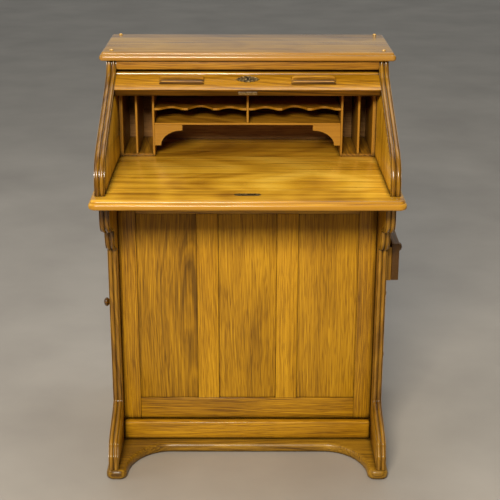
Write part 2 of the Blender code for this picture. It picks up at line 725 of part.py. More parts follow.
def writing_surface():
    """Writing board with its strike plate let in flush."""
    outline = rounded_rectangle(OUTER_X + WRITING_SIDE_OVERHANG, depth(-WRITING_FRONT_OVERHANG),
                                depth(CASE_DEPTH + BACK_OVERHANG), WRITING_CORNER)
    middle = WRITING_HEIGHT - WRITING_THICKNESS / 2
    top_piece = sawn("writing_surface", outline, "plan", middle, WRITING_THICKNESS, OAK)
    ease(top_piece, BOARD_NOSE, 2)
    floor = WRITING_HEIGHT - STRIKE_THICKNESS - 2 * JOINT_GAP
    recess = sawn("strike_recess", strike_outline(JOINT_GAP), "plan", floor + TOOL_REACH / 2, TOOL_REACH,
                  None, collection=cutters)
    cut(top_piece, recess)
    cut_slots(top_piece, "bolt_mortise", floor - MORTISE_DEPTH, floor + GLUE, MORTISE_PLAY)
    top = WRITING_HEIGHT - JOINT_GAP
    plate = sawn("strike_plate", strike_outline(0.0), "plan", top - STRIKE_THICKNESS / 2,
                 STRIKE_THICKNESS, BRASS)
    cut_slots(plate, "strike_slot", top - TOOL_REACH / 2, top + TOOL_REACH / 2, STRIKE_PLAY)


def gables():
    """Upper ends with an S-shaped front edge and a groove for the slats."""
    edge = gable_edge()
    front = [travel((0.0, 0.0), 90.0, edge, s) for s in chain_stations(90.0, edge, 7)]
    outline = [(depth(y), WRITING_HEIGHT + JOINT_GAP + z) for y, z, _ in front]
    lift = TOP_UNDERSIDE - JOINT_GAP
    outline[-1] = (outline[-1][0], lift)
    back = depth(CASE_DEPTH)
    outline += [(back, lift), (back, WRITING_HEIGHT + JOINT_GAP)]

    stations = chain_stations(90.0, TRACK, 6)
    slack = (SLAT_WIDTH / 2) ** 2 / (2 * TRACK_BACK_RADIUS)
    front_side = [on_track(s, SLAT_THICKNESS + slack + GROOVE_PLAY)[:2] for s in stations]
    back_side = [on_track(s, -GROOVE_PLAY)[:2] for s in stations]
    for side in (front_side, back_side):
        side[0] = (side[0][0], side[0][1] - TOOL_REACH)
    groove = front_side + list(reversed(back_side))
    for side, sign in (("left", -1), ("right", 1)):
        gable = sawn("gable_" + side, outline, "side", sign * (OUTER_X - END_THICKNESS / 2),
                     END_THICKNESS, OAK)
        channel = sawn("groove_" + side, groove, "side", sign * INNER_X, 2 * GROOVE_DEPTH, None,
                       collection=cutters)
        cut(gable, channel)


def top_and_header():
    """Top board with its domed plugs, and the rail under its front."""
    half = OUTER_X + TOP_SIDE_OVERHANG
    front, back = depth(TOP_SETBACK), depth(CASE_DEPTH + BACK_OVERHANG)
    outline = rounded_rectangle(half, front, back, TOP_CORNER, 4)
    top = sawn("top_board", outline, "plan", TOP_UNDERSIDE + TOP_THICKNESS / 2, TOP_THICKNESS, OAK)
    ease(top, BOARD_NOSE, 2)
    dome = arc((0.0, 0.0), (PLUG_RADIUS, PLUG_HEIGHT), 90, 0, 3)
    plug = dome + [(PLUG_RADIUS, -2 * GLUE), (0.0, -2 * GLUE)]
    gable_middle = (OUTER_X + INNER_X) / 2
    for x in (-gable_middle, gable_middle):
        for y in (front + PLUG_INSET, back - PLUG_BACK_INSET):
            spot = Matrix.Translation((x, y, TOP_UNDERSIDE + TOP_THICKNESS))
            cut(top, turned("plug", plug, None, spot, 12, cutters), "UNION")
    high = TOP_UNDERSIDE - JOINT_GAP
    board("header_rail", (-FIT_X, depth(HEADER_FRONT), high - HEADER_HEIGHT),
          (FIT_X, depth(HEADER_FRONT + HEADER_THICKNESS), high), OAK, EDGE)


# ---------------------------------------------------------------- tambour
def rail_poses():
    """Rest (open) and closed poses of the lift rail's lower end, on the slats' back line."""
    low, high = 0.0, RAIL_LENGTH * 1.5
    foot = on_track(0.0)
    for _ in range(40):
        middle = (low + high) / 2
        head = on_track(middle)
        if math.hypot(head[0] - foot[0], head[1] - foot[1]) < RAIL_LENGTH:
            low = middle
        else:
            high = middle
    lean = math.degrees(math.atan2(head[1] - foot[1], head[0] - foot[0]))
    return on_track(TAMBOUR_TRAVEL), (foot[0], foot[1], lean), low


def slat_groups():
    """Slats that keep together between the open and the closed curtain: (numbers, open, closed)."""
    start_closed = rail_poses()[2]
    groups = []
    for i in range(SLAT_COUNT):
        middle = (i + 0.5) * SLAT_PITCH
        opened, closed = on_track(OPEN_RAIL_TOP + middle), on_track(start_closed + middle)
        if groups:
            numbers, first_open, first_closed = groups[-1]
            bend_open, bend_closed = first_open[2] - opened[2], first_closed[2] - closed[2]
            if max(abs(bend_open), abs(bend_closed)) < NO_TURN:
                numbers.append(i + 1)
                continue
        groups.append(([i + 1], opened, closed))
    return groups


def tambour():
    """Slats of the curtain, in the groups that move as one, each group on its strip of canvas."""
    reach = INNER_X + GROOVE_DEPTH - RUN_GAP
    half, bevel = SLAT_WIDTH / 2, SLAT_BEVEL
    for numbers, opened, closed in slat_groups():
        name = "tambour_slat_%02d" % numbers[0]
        if len(numbers) > 1:
            name = "tambour_slats_%02d_to_%02d" % (numbers[0], numbers[-1])
        fronts = []
        for i in reversed(range(len(numbers))):
            middle = i * SLAT_PITCH
            fronts += [(middle + half, CANVAS), (middle + half, SLAT_THICKNESS - bevel),
                       (middle + half - bevel, SLAT_THICKNESS), (middle - half + bevel, SLAT_THICKNESS),
                       (middle - half, SLAT_THICKNESS - bevel), (middle - half, CANVAS)]
        last = (len(numbers) - 1) * SLAT_PITCH
        outline = [(-half, 0.0), (last + half, 0.0)] + fronts[1:-1]
        piece = sawn(name, outline, "side", 0.0, 2 * reach, OAK, pose(*opened))
        y, z, _ = pole(opened, closed)
        hang([piece], joint_axis(name + "_pole", (0, y, z)))


def lift_rail():
    """Bottom rail of the curtain: two lift handles, escutcheon, lock and its bolts."""
    opened, closed, _ = rail_poses()
    lean = math.radians(closed[2])
    half = INNER_X - RUN_GAP

    def seat(proud):
        """Lower end of the rail at this height over the slats' backs, level when closed."""
        return (SEAT_GAP - proud * math.cos(lean)) / math.sin(lean)

    outline = [(seat(RAIL_FRONT), RAIL_FRONT), (seat(-RAIL_BEHIND), -RAIL_BEHIND),
               (RAIL_LENGTH - JOINT_GAP, -RAIL_BEHIND), (RAIL_LENGTH - JOINT_GAP, RAIL_FRONT)]
    rest = pose(*opened)
    rail = sawn("lift_rail", outline, "side", 0.0, 2 * half, OAK, rest)
    ease(rail, EDGE)

    face = RAIL_FRONT + JOINT_GAP
    outline = [(HANDLE_LOW + along * HANDLE_HEIGHT, face + proud * HANDLE_PROUD)
               for along, proud in HANDLE_SECTION]
    handles = []
    for side, sign in (("left", -1), ("right", 1)):
        handles.append(sawn("lift_handle_" + side, outline, "side", sign * HANDLE_X, HANDLE_WIDTH, OAK, rest))

    width, height = ESCUTCHEON_LENGTH / 2, ESCUTCHEON_HEIGHT / 2
    lens = []
    for sign in (1, -1):
        for i in range(9):
            share = i / 9
            lens.append((sign * width * (1 - 2 * share), sign * height * math.sin(math.pi * share) ** 0.8
                         + ESCUTCHEON_ALONG))
    plate_z = face + ESCUTCHEON_THICKNESS / 2
    plate = sawn("escutcheon", lens, "plan", plate_z, ESCUTCHEON_THICKNESS, BRASS, rest)
    keyhole = arc((0.0, ESCUTCHEON_ALONG + KEYHOLE_RISE), (KEYHOLE_RADIUS,) * 2, -60, 240, 10)
    keyhole += [(x, ESCUTCHEON_ALONG - KEYHOLE_FOOT) for x in (-KEYHOLE_RADIUS / 2, KEYHOLE_RADIUS / 2)]
    cut(plate, sawn("keyhole", keyhole, "plan", plate_z, TOOL_REACH, None, rest, cutters))

    y, z, turn = pole(opened, closed)
    centre = Matrix.Translation((0, y, z))
    reopen = centre @ Matrix.Rotation(math.radians(-turn), 4, "X") @ centre.inverted()
    foot = WRITING_HEIGHT + SEAT_GAP
    middle = depth(LOCK_BEHIND)

    def lock_block(name, grow, low, high, material, collection):
        x, thick = LOCK_WIDTH / 2 + grow, LOCK_THICKNESS / 2 + grow
        return board(name, (-x, middle - thick, low), (x, middle + thick, high), material,
                     matrix=reopen, collection=collection)

    cut(rail, lock_block("lock_pocket", JOINT_GAP, foot - TOOL_REACH, foot + LOCK_HEIGHT + JOINT_GAP, None,
                         cutters))
    case = lock_block("lock_case", 0.0, foot, foot + LOCK_HEIGHT, STEEL, desk)
    wide, thick, tall = BOLT_SIZE
    bolt_low = foot + JOINT_GAP
    cut_slots(case, "bolt_way", foot - TOOL_REACH, bolt_low + tall, JOINT_GAP, reopen)
    bar_low = bolt_low + tall - BOLT_BAR
    reach = BOLT_X + wide / 2
    room = Vector((reach, thick / 2, 0.0)) + Vector((JOINT_GAP,) * 3)
    centre_low, centre_high = Vector((0, middle, bar_low - BOLT_THROW)), Vector((0, middle, bolt_low + tall))
    chamber = board("bolt_chamber", centre_low - room, centre_high + room, None,
                    matrix=reopen, collection=cutters)
    cut(case, chamber)
    inner = reach - wide
    right_leg = [(inner, bar_low), (inner, bolt_low), (reach, bolt_low), (reach, bolt_low + tall)]
    outline = right_leg + [(-x, z) for x, z in reversed(right_leg)]
    bolts = sawn("lock_bolts", outline, "front", middle, thick, STEEL, reopen)
    hang([rail, *handles, plate, case, bolts], joint_axis("lift_rail_pole", (0, y, z)))


# ---------------------------------------------------------------- pigeonholes
def scalloped_shelf(x0, x1, front, back):
    """Plan of an upper shelf whose front is cut in hollow scallops between short tabs."""
    count = len(SCALLOP_DEPTHS)
    hollow = (x1 - x0 - SCALLOP_TAB * (count + 1)) / count
    outline = [(x0, front)]
    for i in range(count):
        start = x0 + SCALLOP_TAB + i * (hollow + SCALLOP_TAB)
        for j in range(13):
            share = j / 12
            deep = SCALLOP_DEPTHS[i] * max(0.0, math.sin(math.pi * share)) ** SCALLOP_SHARPNESS[i]
            outline.append((start + hollow * share, front + deep))
    return outline + [(x1, front), (x1, back), (x0, back)]


def pigeonholes():
    """Upright slots at both sides, shelves between them and scrolled spandrels below."""
    floor = WRITING_HEIGHT + JOINT_GAP
    head = WRITING_HEIGHT + HOLES_RISE - HOLES_TOP
    front, back = depth(HOLES_FRONT), depth(HOLES_BACK) - JOINT_GAP
    outer = INNER_X - OUTER_UPRIGHT
    board("pigeonhole_top", (-FIT_X, front + 2 * HOLES_STEP, head), (FIT_X, back, head + HOLES_TOP),
          OAK_INSIDE, FINE_EDGE)
    board("interior_back", (-FIT_X, depth(HOLES_BACK), floor),
          (FIT_X, depth(HOLES_BACK) + BACK_BOARD, head + HOLES_TOP), OAK_INSIDE)
    top = head - JOINT_GAP
    slot_low = floor + SLOT_FLOOR + JOINT_GAP
    uprights = (
        ("outer_upright_", (outer + FIT_X) / 2, FIT_X - outer, floor),
        ("inner_upright_", INNER_UPRIGHT_X, DIVIDER, floor),
        ("slot_divider_", SLOT_DIVIDER_X, DIVIDER, slot_low),
    )
    for side, sign in (("left", -1), ("right", 1)):
        for name, middle, width, low in uprights:
            x = sign * middle
            board(name + side, (x - width / 2, front, low), (x + width / 2, back, top), OAK_INSIDE, FINE_EDGE)
        a, b = sorted((sign * (INNER_UPRIGHT_X + DIVIDER / 2 + JOINT_GAP), sign * (outer - JOINT_GAP)))
        board("slot_floor_" + side, (a, front + HOLES_STEP, floor), (b, back, floor + SLOT_FLOOR), OAK_INSIDE)

    reach = INNER_UPRIGHT_X - DIVIDER / 2 - JOINT_GAP
    low = WRITING_HEIGHT + LOWER_SHELF_Z
    board("lower_shelf", (-reach, front, low - SHELF), (reach, back, low), OAK_INSIDE, FINE_EDGE)
    board("centre_divider", (-DIVIDER / 2, front, low + JOINT_GAP), (DIVIDER / 2, back, top),
          OAK_INSIDE, FINE_EDGE)
    bracket_head = low - SHELF - JOINT_GAP
    hollow = (SPANDREL_WIDTH - SPANDREL_FOOT, SPANDREL_HEIGHT - SPANDREL_NOSE)
    corner = (reach - SPANDREL_WIDTH, bracket_head - SPANDREL_HEIGHT)
    bracket = [(reach, bracket_head), (reach, corner[1]), (reach - SPANDREL_FOOT, corner[1])]
    bracket += arc(corner, hollow, 0, 90, 7)[1:] + [(corner[0], bracket_head)]
    for side, sign in (("left", -1), ("right", 1)):
        a, b = sorted((sign * reach, sign * (DIVIDER / 2 + JOINT_GAP)))
        sawn("upper_shelf_" + side, scalloped_shelf(a, b, front + HOLES_STEP, back), "plan",
             WRITING_HEIGHT + UPPER_SHELF_Z - SHELF / 2, SHELF, OAK_INSIDE)
        sawn("spandrel_" + side, [(sign * x, z) for x, z in bracket], "front",
             front + SPANDREL_THICKNESS / 2 + HOLES_STEP, SPANDREL_THICKNESS, OAK_INSIDE)


base_platform()
lower_ends()
front_frame()
framed_back("lower_back", BASE_TOP, CASE_TOP - JOINT_GAP, 2)
drawer_housing()
drawers()
cupboard_door()
writing_surface()
gables()
top_and_header()
framed_back("upper_back", WRITING_HEIGHT + JOINT_GAP, TOP_UNDERSIDE - JOINT_GAP, 1)
pigeonholes()
tambour()
lift_rail()
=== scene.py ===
"""Looks of a small S-roll top desk in golden oak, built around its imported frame."""

import functools
import math

import bmesh
import bpy
import numpy as np
from mathutils import Matrix, Vector


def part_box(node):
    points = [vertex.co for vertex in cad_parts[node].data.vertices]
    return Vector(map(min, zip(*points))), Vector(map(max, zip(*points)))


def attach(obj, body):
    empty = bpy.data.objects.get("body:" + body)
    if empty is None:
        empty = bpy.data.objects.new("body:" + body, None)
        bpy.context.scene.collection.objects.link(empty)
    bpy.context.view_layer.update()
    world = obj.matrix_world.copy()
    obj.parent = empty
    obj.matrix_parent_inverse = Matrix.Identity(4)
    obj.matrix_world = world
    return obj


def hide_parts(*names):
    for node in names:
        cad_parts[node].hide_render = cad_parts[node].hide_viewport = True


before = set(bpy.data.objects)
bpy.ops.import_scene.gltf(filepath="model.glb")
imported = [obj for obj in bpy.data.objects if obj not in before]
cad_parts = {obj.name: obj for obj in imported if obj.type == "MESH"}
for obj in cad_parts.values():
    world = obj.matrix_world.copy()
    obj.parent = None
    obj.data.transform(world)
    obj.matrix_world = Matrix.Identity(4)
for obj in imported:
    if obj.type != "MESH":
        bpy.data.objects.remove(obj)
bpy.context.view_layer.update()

# ---------------------------------------------------------------- sizes that the frame doesn't give (metres)
ROLL_FOOT = 0.018               # upright start of a gable's front edge
ROLL_BENDS = ((0.085, 33.0), (0.250, 24.0))     # radius, and heading in degrees after it
ROLL_NECK = 0.060               # radius of the hollow bend under the top board
ROLL_NECK_RISE = 0.0406
TRACK_INSET = 0.020             # gable edge to the backs of the slats
TRACK_TOP_DROP = 0.0367         # level run of the track under the top board
TRACK_TOP_RADIUS = 0.055
TRACK_BACK_RADIUS = 0.030
TRACK_BACK_GAP = 0.0195         # upright run before the framed back
RAIL_LENGTH = 0.0755            # lift rail, along the track
RAIL_STOP = 0.0023
RAIL_FRONT = 0.018              # its face over the backs of the slats
RAIL_BEHIND = 0.006
SLAT_PITCH = 0.028
SLAT_RISE = 0.0085
SLAT_EDGE = 0.0014              # thickness at a slat's long edges
SLAT_BACK = 0.0012              # backs of the slats, over the canvas
CANVAS_FRONT = 0.0011
CANVAS_SHORT = 0.030            # how far the canvas stops short of the slats' ends
FOOT_GAP = 0.0014               # under the foot of the shut lift rail
BEAD_DEPTH = 0.0042             # of the double bead on the front edges of ends and gables
BEAD_SEAT = 0.0070              # how far the beaded strip reaches back
BEAD_LAP = 0.0020               # how much of that lies in its board
STILE = 0.0445
MUNTIN = 0.054
PANEL_BAY = 0.149               # middle panel of the front
TOP_RAIL = 0.0945
BOTTOM_RAIL_TOP = 0.134
BACK_MEMBER = 0.060
DOOR_MEMBER = 0.045
EASE = 0.0014                   # worn arris of a board
PANEL_EASE = 0.0006
TOE_EASE = 0.0055
HAIR = 0.0003                   # gap at a joint


# ---------------------------------------------------------------- mesh helpers
def ring_faces(rings, points):
    """Quads between neighbouring closed rings: (i, j), (i, j+1), (i+1, j+1), (i+1, j)."""
    i, j = np.meshgrid(np.arange(rings - 1), np.arange(points), indexing="ij")
    k = (j + 1) % points
    quads = np.stack([i * points + j, i * points + k, (i + 1) * points + k, (i + 1) * points + j], -1)
    return quads.reshape(-1, 4).tolist()


def distances_along(points):
    """Distance of each point of a line from its first point, along the line."""
    return np.concatenate([[0.0], np.cumsum(np.linalg.norm(np.diff(points, axis=0), axis=1))])


def vectors(items, kind):
    """One vector of each item of a mesh, such as a point's co or a face's normal, as an array."""
    values = np.empty(len(items) * 3, np.float32)
    items.foreach_get(kind, values)
    return values.reshape(-1, 3).astype(float)


def loft(name, rings, material, body, seed=0.0, replaces=(), slot="oak_golden", sharp=32.0):
    """A closed body through rings, an array (rings, points, 3), with a flat face on each end ring.

    It carries a seed, so that boards differ in their grain, and a UV map in metres:
    u runs along the rings, v round them."""
    rings = np.asarray(rings, float)
    count, points, _ = rings.shape
    faces = ring_faces(count, points)
    faces.append(list(range(points)))
    faces.append(list(range((count - 1) * points, count * points)))
    mesh = bpy.data.meshes.new(name)
    mesh.from_pydata(rings.reshape(-1, 3).tolist(), [], faces)
    length = distances_along(rings.mean(1))
    around = distances_along(np.concatenate([rings[0], rings[0][:1]]))[:-1]
    uv = np.stack(np.broadcast_arrays(length[:, None], around[None, :]), -1).reshape(-1, 2)
    owners = np.empty(len(mesh.loops), np.int32)
    mesh.loops.foreach_get("vertex_index", owners)
    mesh.uv_layers.new(name="along_the_board").data.foreach_set("uv", uv[owners].astype(np.float32).ravel())
    shape = bmesh.new()
    shape.from_mesh(mesh)
    bmesh.ops.remove_doubles(shape, verts=shape.verts, dist=0.000001)
    bmesh.ops.recalc_face_normals(shape, faces=shape.faces)
    shape.to_mesh(mesh)
    shape.free()
    return dress(mesh, name, material, body, seed, replaces, sharp)


def plant_seed(mesh, seed):
    """Write a seed on every point of a mesh."""
    values = mesh.attributes.get("seed") or mesh.attributes.new("seed", "FLOAT", "POINT")
    values.data.foreach_set("value", np.full(len(mesh.vertices), seed, np.float32))


def dress(mesh, name, material, body, seed=0.0, replaces=(), sharp=32.0):
    """Give a finished mesh its material, seed, shading, body and material slot."""
    mesh.materials.clear()
    mesh.materials.append(material)
    plant_seed(mesh, seed)
    mesh.shade_smooth()
    mesh.set_sharp_from_angle(angle=math.radians(sharp))
    piece = bpy.data.objects.new(name, mesh)
    bpy.context.scene.collection.objects.link(piece)
    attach(piece, body)
    if replaces:
        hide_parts(replaces)
    return piece


def rounded_rectangle(low, high, radius, steps):
    """Closed outline of a rectangle whose corners are quarter circles."""
    angles = np.radians(np.linspace(0, 90, steps + 1))
    outline = []
    for turn, (to_x, to_y) in enumerate(((1, 1), (-1, 1), (-1, -1), (1, -1))):
        corner = np.array((high[0] if to_x > 0 else low[0], high[1] if to_y > 0 else low[1]))
        centre = corner - np.array((to_x, to_y)) * radius
        spin = angles + math.radians(90) * turn
        outline.append(centre + radius * np.stack([np.cos(spin), np.sin(spin)], -1))
    return np.concatenate(outline)


def plank(name, low, high, grain, wood, seed, edge=EASE, body="case", **more):
    """A board with worn arrises: a rounded section carried along the grain, drawn in at both ends.

    At the ends the section shrinks by edge * (1 - cos t) while the length grows by edge * sin t.
    wood is a finish, or a finish for each direction of the grain."""
    material = wood[grain] if isinstance(wood, dict) else wood
    low, high = np.array(low, float), np.array(high, float)
    axis = "xyz".index(grain)
    across = [(axis + 1) % 3, (axis + 2) % 3]
    turn = np.radians(np.linspace(0, 90, 4))
    draw = edge * (1 - np.cos(turn))
    reach = edge * (1 - np.sin(turn))
    stations = np.concatenate([(low[axis] + reach)[::-1], high[axis] - reach])
    insets = np.concatenate([draw[::-1], draw])
    rings = []
    for place, inset in zip(stations, insets):
        radius = max(edge - inset * 0.5, edge * 0.4)
        section = rounded_rectangle(low[across] + inset, high[across] - inset, radius, 3)
        ring = np.empty((len(section), 3))
        ring[:, axis] = place
        ring[:, across] = section
        rings.append(ring)
    return loft(name, rings, material, body, seed, **more)


def edge_normals(points):
    """Unit normals of an open line in the side view, to its left."""
    tangent = np.gradient(points, axis=0)
    tangent /= np.linalg.norm(tangent, axis=1)[:, None]
    return np.stack([-tangent[:, 1], tangent[:, 0]], -1)


def along(start, heading, segments, distances):
    """Points, headings and total length of a chain of lines and arcs in the side view.

    A line goes on in its heading a. An arc of radius R turns it to b:
    y grows by R (sin b - sin a) and z by R (cos a - cos b)."""
    distances = np.asarray(distances, float)
    y, z = np.full(distances.shape, float(start[0])), np.full(distances.shape, float(start[1]))
    angle = math.radians(heading)
    headings = np.full(distances.shape, angle)
    done = 0.0
    for index, (kind, *numbers) in enumerate(segments):
        turning = kind == "arc"
        end = math.radians(numbers[1]) if turning else angle
        length = numbers[0] * abs(end - angle) if turning else numbers[0]
        part = np.clip(distances - done, 0, np.inf if index == len(segments) - 1 else length)
        if turning:
            radius = math.copysign(numbers[0], end - angle)
            y += radius * (np.sin(angle + part / radius) - math.sin(angle))
            z += radius * (math.cos(angle) - np.cos(angle + part / radius))
            headings += part / radius
            angle = end
        else:
            y += part * math.cos(angle)
            z += part * math.sin(angle)
        done += length
    return np.stack([y, z], -1), headings, done


# ---------------------------------------------------------------- places taken from the frame
def corners(name):
    """Lowest and highest corner of a node, as arrays."""
    low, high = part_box(name)
    return np.array(low), np.array(high)


GABLE_LOW, GABLE_HIGH = corners("gable_left")
WRITING_LOW, WRITING_HIGH = corners("writing_surface")
TOP_LOW, TOP_HIGH = corners("top_board")
FRAME_LOW, FRAME_HIGH = corners("front_frame")
POST_LOW, POST_HIGH = corners("end_post_left")
BACK_Y = corners("lower_back")[0][1]
FRONT_Y = GABLE_LOW[1]
BOARD = GABLE_HIGH[0] - GABLE_LOW[0]
OUTER_X = -GABLE_LOW[0]
INNER_X = OUTER_X - BOARD
WRITING_Z = WRITING_HIGH[2]
TOP_Z = TOP_LOW[2]


def roll_line(inset):
    """The roll's front line, set in by inset, up to the start of its slope."""
    return [("line", ROLL_FOOT)] + [("arc", radius - inset, heading) for radius, heading in ROLL_BENDS]


def add_slope(start, chain, height):
    """Add the straight slope that takes the chain up to a height."""
    _, _, length = along(start, 90.0, chain, 0.0)
    foot, _, _ = along(start, 90.0, chain, length)
    rise = height - foot[1]
    return chain + [("line", rise / math.sin(math.radians(ROLL_BENDS[-1][1])))]


GABLE_START = (FRONT_Y, GABLE_LOW[2])
NECK_END = math.degrees(math.acos(math.cos(math.radians(ROLL_BENDS[-1][1])) - ROLL_NECK_RISE / ROLL_NECK))
GABLE_EDGE = add_slope(GABLE_START, roll_line(0.0), GABLE_HIGH[2] - ROLL_NECK_RISE)
GABLE_EDGE.append(("arc", ROLL_NECK, NECK_END))

TRACK_START = (FRONT_Y + TRACK_INSET, WRITING_Z)
BEND_RISE = TRACK_TOP_RADIUS * (1 - math.cos(math.radians(ROLL_BENDS[-1][1])))
TRACK = add_slope(TRACK_START, roll_line(TRACK_INSET), TOP_Z - TRACK_TOP_DROP - BEND_RISE)
OPEN_TOP = along(TRACK_START, 90.0, TRACK, 0.0)[2] - RAIL_STOP
TRACK.append(("arc", TRACK_TOP_RADIUS, 0.0))
LEVEL_START = along(TRACK_START, 90.0, TRACK, along(TRACK_START, 90.0, TRACK, 0.0)[2])[0][0]
TRACK.append(("line", BACK_Y - TRACK_BACK_GAP - TRACK_BACK_RADIUS - LEVEL_START))
TRACK.append(("arc", TRACK_BACK_RADIUS, -90.0))
TRACK.append(("line", 1.0))


def on_track(distance):
    """Matrix of a piece lying on the track: its Y runs along the track, its Z points out of the curtain."""
    point, heading, _ = along(TRACK_START, 90.0, TRACK, distance)
    return Matrix.Translation((0.0, point[0], point[1])) @ Matrix.Rotation(float(heading), 4, "X")


def moved(rings, matrix):
    """Rings of points taken through a matrix."""
    rings = np.asarray(rings, float)
    return rings @ np.array(matrix)[:3, :3].T + np.array(matrix)[:3, 3]


# ---------------------------------------------------------------- materials
def linear(code):
    """An sRGB hex colour as linear RGBA."""
    channels = [int(code[i:i + 2], 16) / 255 for i in (1, 3, 5)]
    return (*[c / 12.92 if c <= 0.04045 else ((c + 0.055) / 1.055) ** 2.4 for c in channels], 1.0)


def fill(tree, node, *values, **named):
    """Set or link the inputs of a node: values in their order, named ones by name.

    An underscore stands for a space, and i6 for input 6. A node given as a value stands for its first
    output in use, and is linked."""
    for key, value in [*enumerate(values), *named.items()]:
        if isinstance(key, str):
            key = int(key[1:]) if key[1:].isdigit() else key.replace("_", " ")
        if isinstance(value, bpy.types.Node):
            value = next(output for output in value.outputs if output.enabled)
        if isinstance(value, bpy.types.NodeSocket):
            tree.links.new(value, node.inputs[key])
        else:
            node.inputs[key].default_value = value


def add(tree, kind, *values, settings=None, stops=(), **named):
    """Add a node with its settings, colour stops and inputs. Math.ADD names a node and its operation."""
    kind, _, operation = kind.partition(".")
    made = tree.nodes.new("ShaderNode" + kind)
    if operation:
        made.operation = operation
    for key, value in (settings or {}).items():
        setattr(made, key, value)
    for index, (place, code) in enumerate(stops):
        band = made.color_ramp.elements
        element = band[index] if index < len(band) else band.new(place)
        element.position = place
        element.color = linear(code)
    fill(tree, made, *values, **named)
    return made


def start_material(name):
    """An empty Principled material and its shader."""
    material = bpy.data.materials.new(name)
    material.use_nodes = True
    return material, material.node_tree, material.node_tree.nodes["Principled BSDF"]


RGBA = {"data_type": "RGBA"}
VARNISH_IOR = 1.45
SEED_STEP = 1.7                 # metres along the grain for a seed of one
SWAY = 0.05                     # metres that the rings wander sideways
LOG_LEAN = 0.055                # slope of the log's axis against the board
LOG_DEPTH = 0.09                # most that its lean takes it down, in metres
FIBRE_SHARE = 0.34              # of the fibres in a wood's tone
BOARD_SHARE = 0.11              # of the board's own tone
TONE_REACH = 0.155              # tones either side of the middle that the colours span


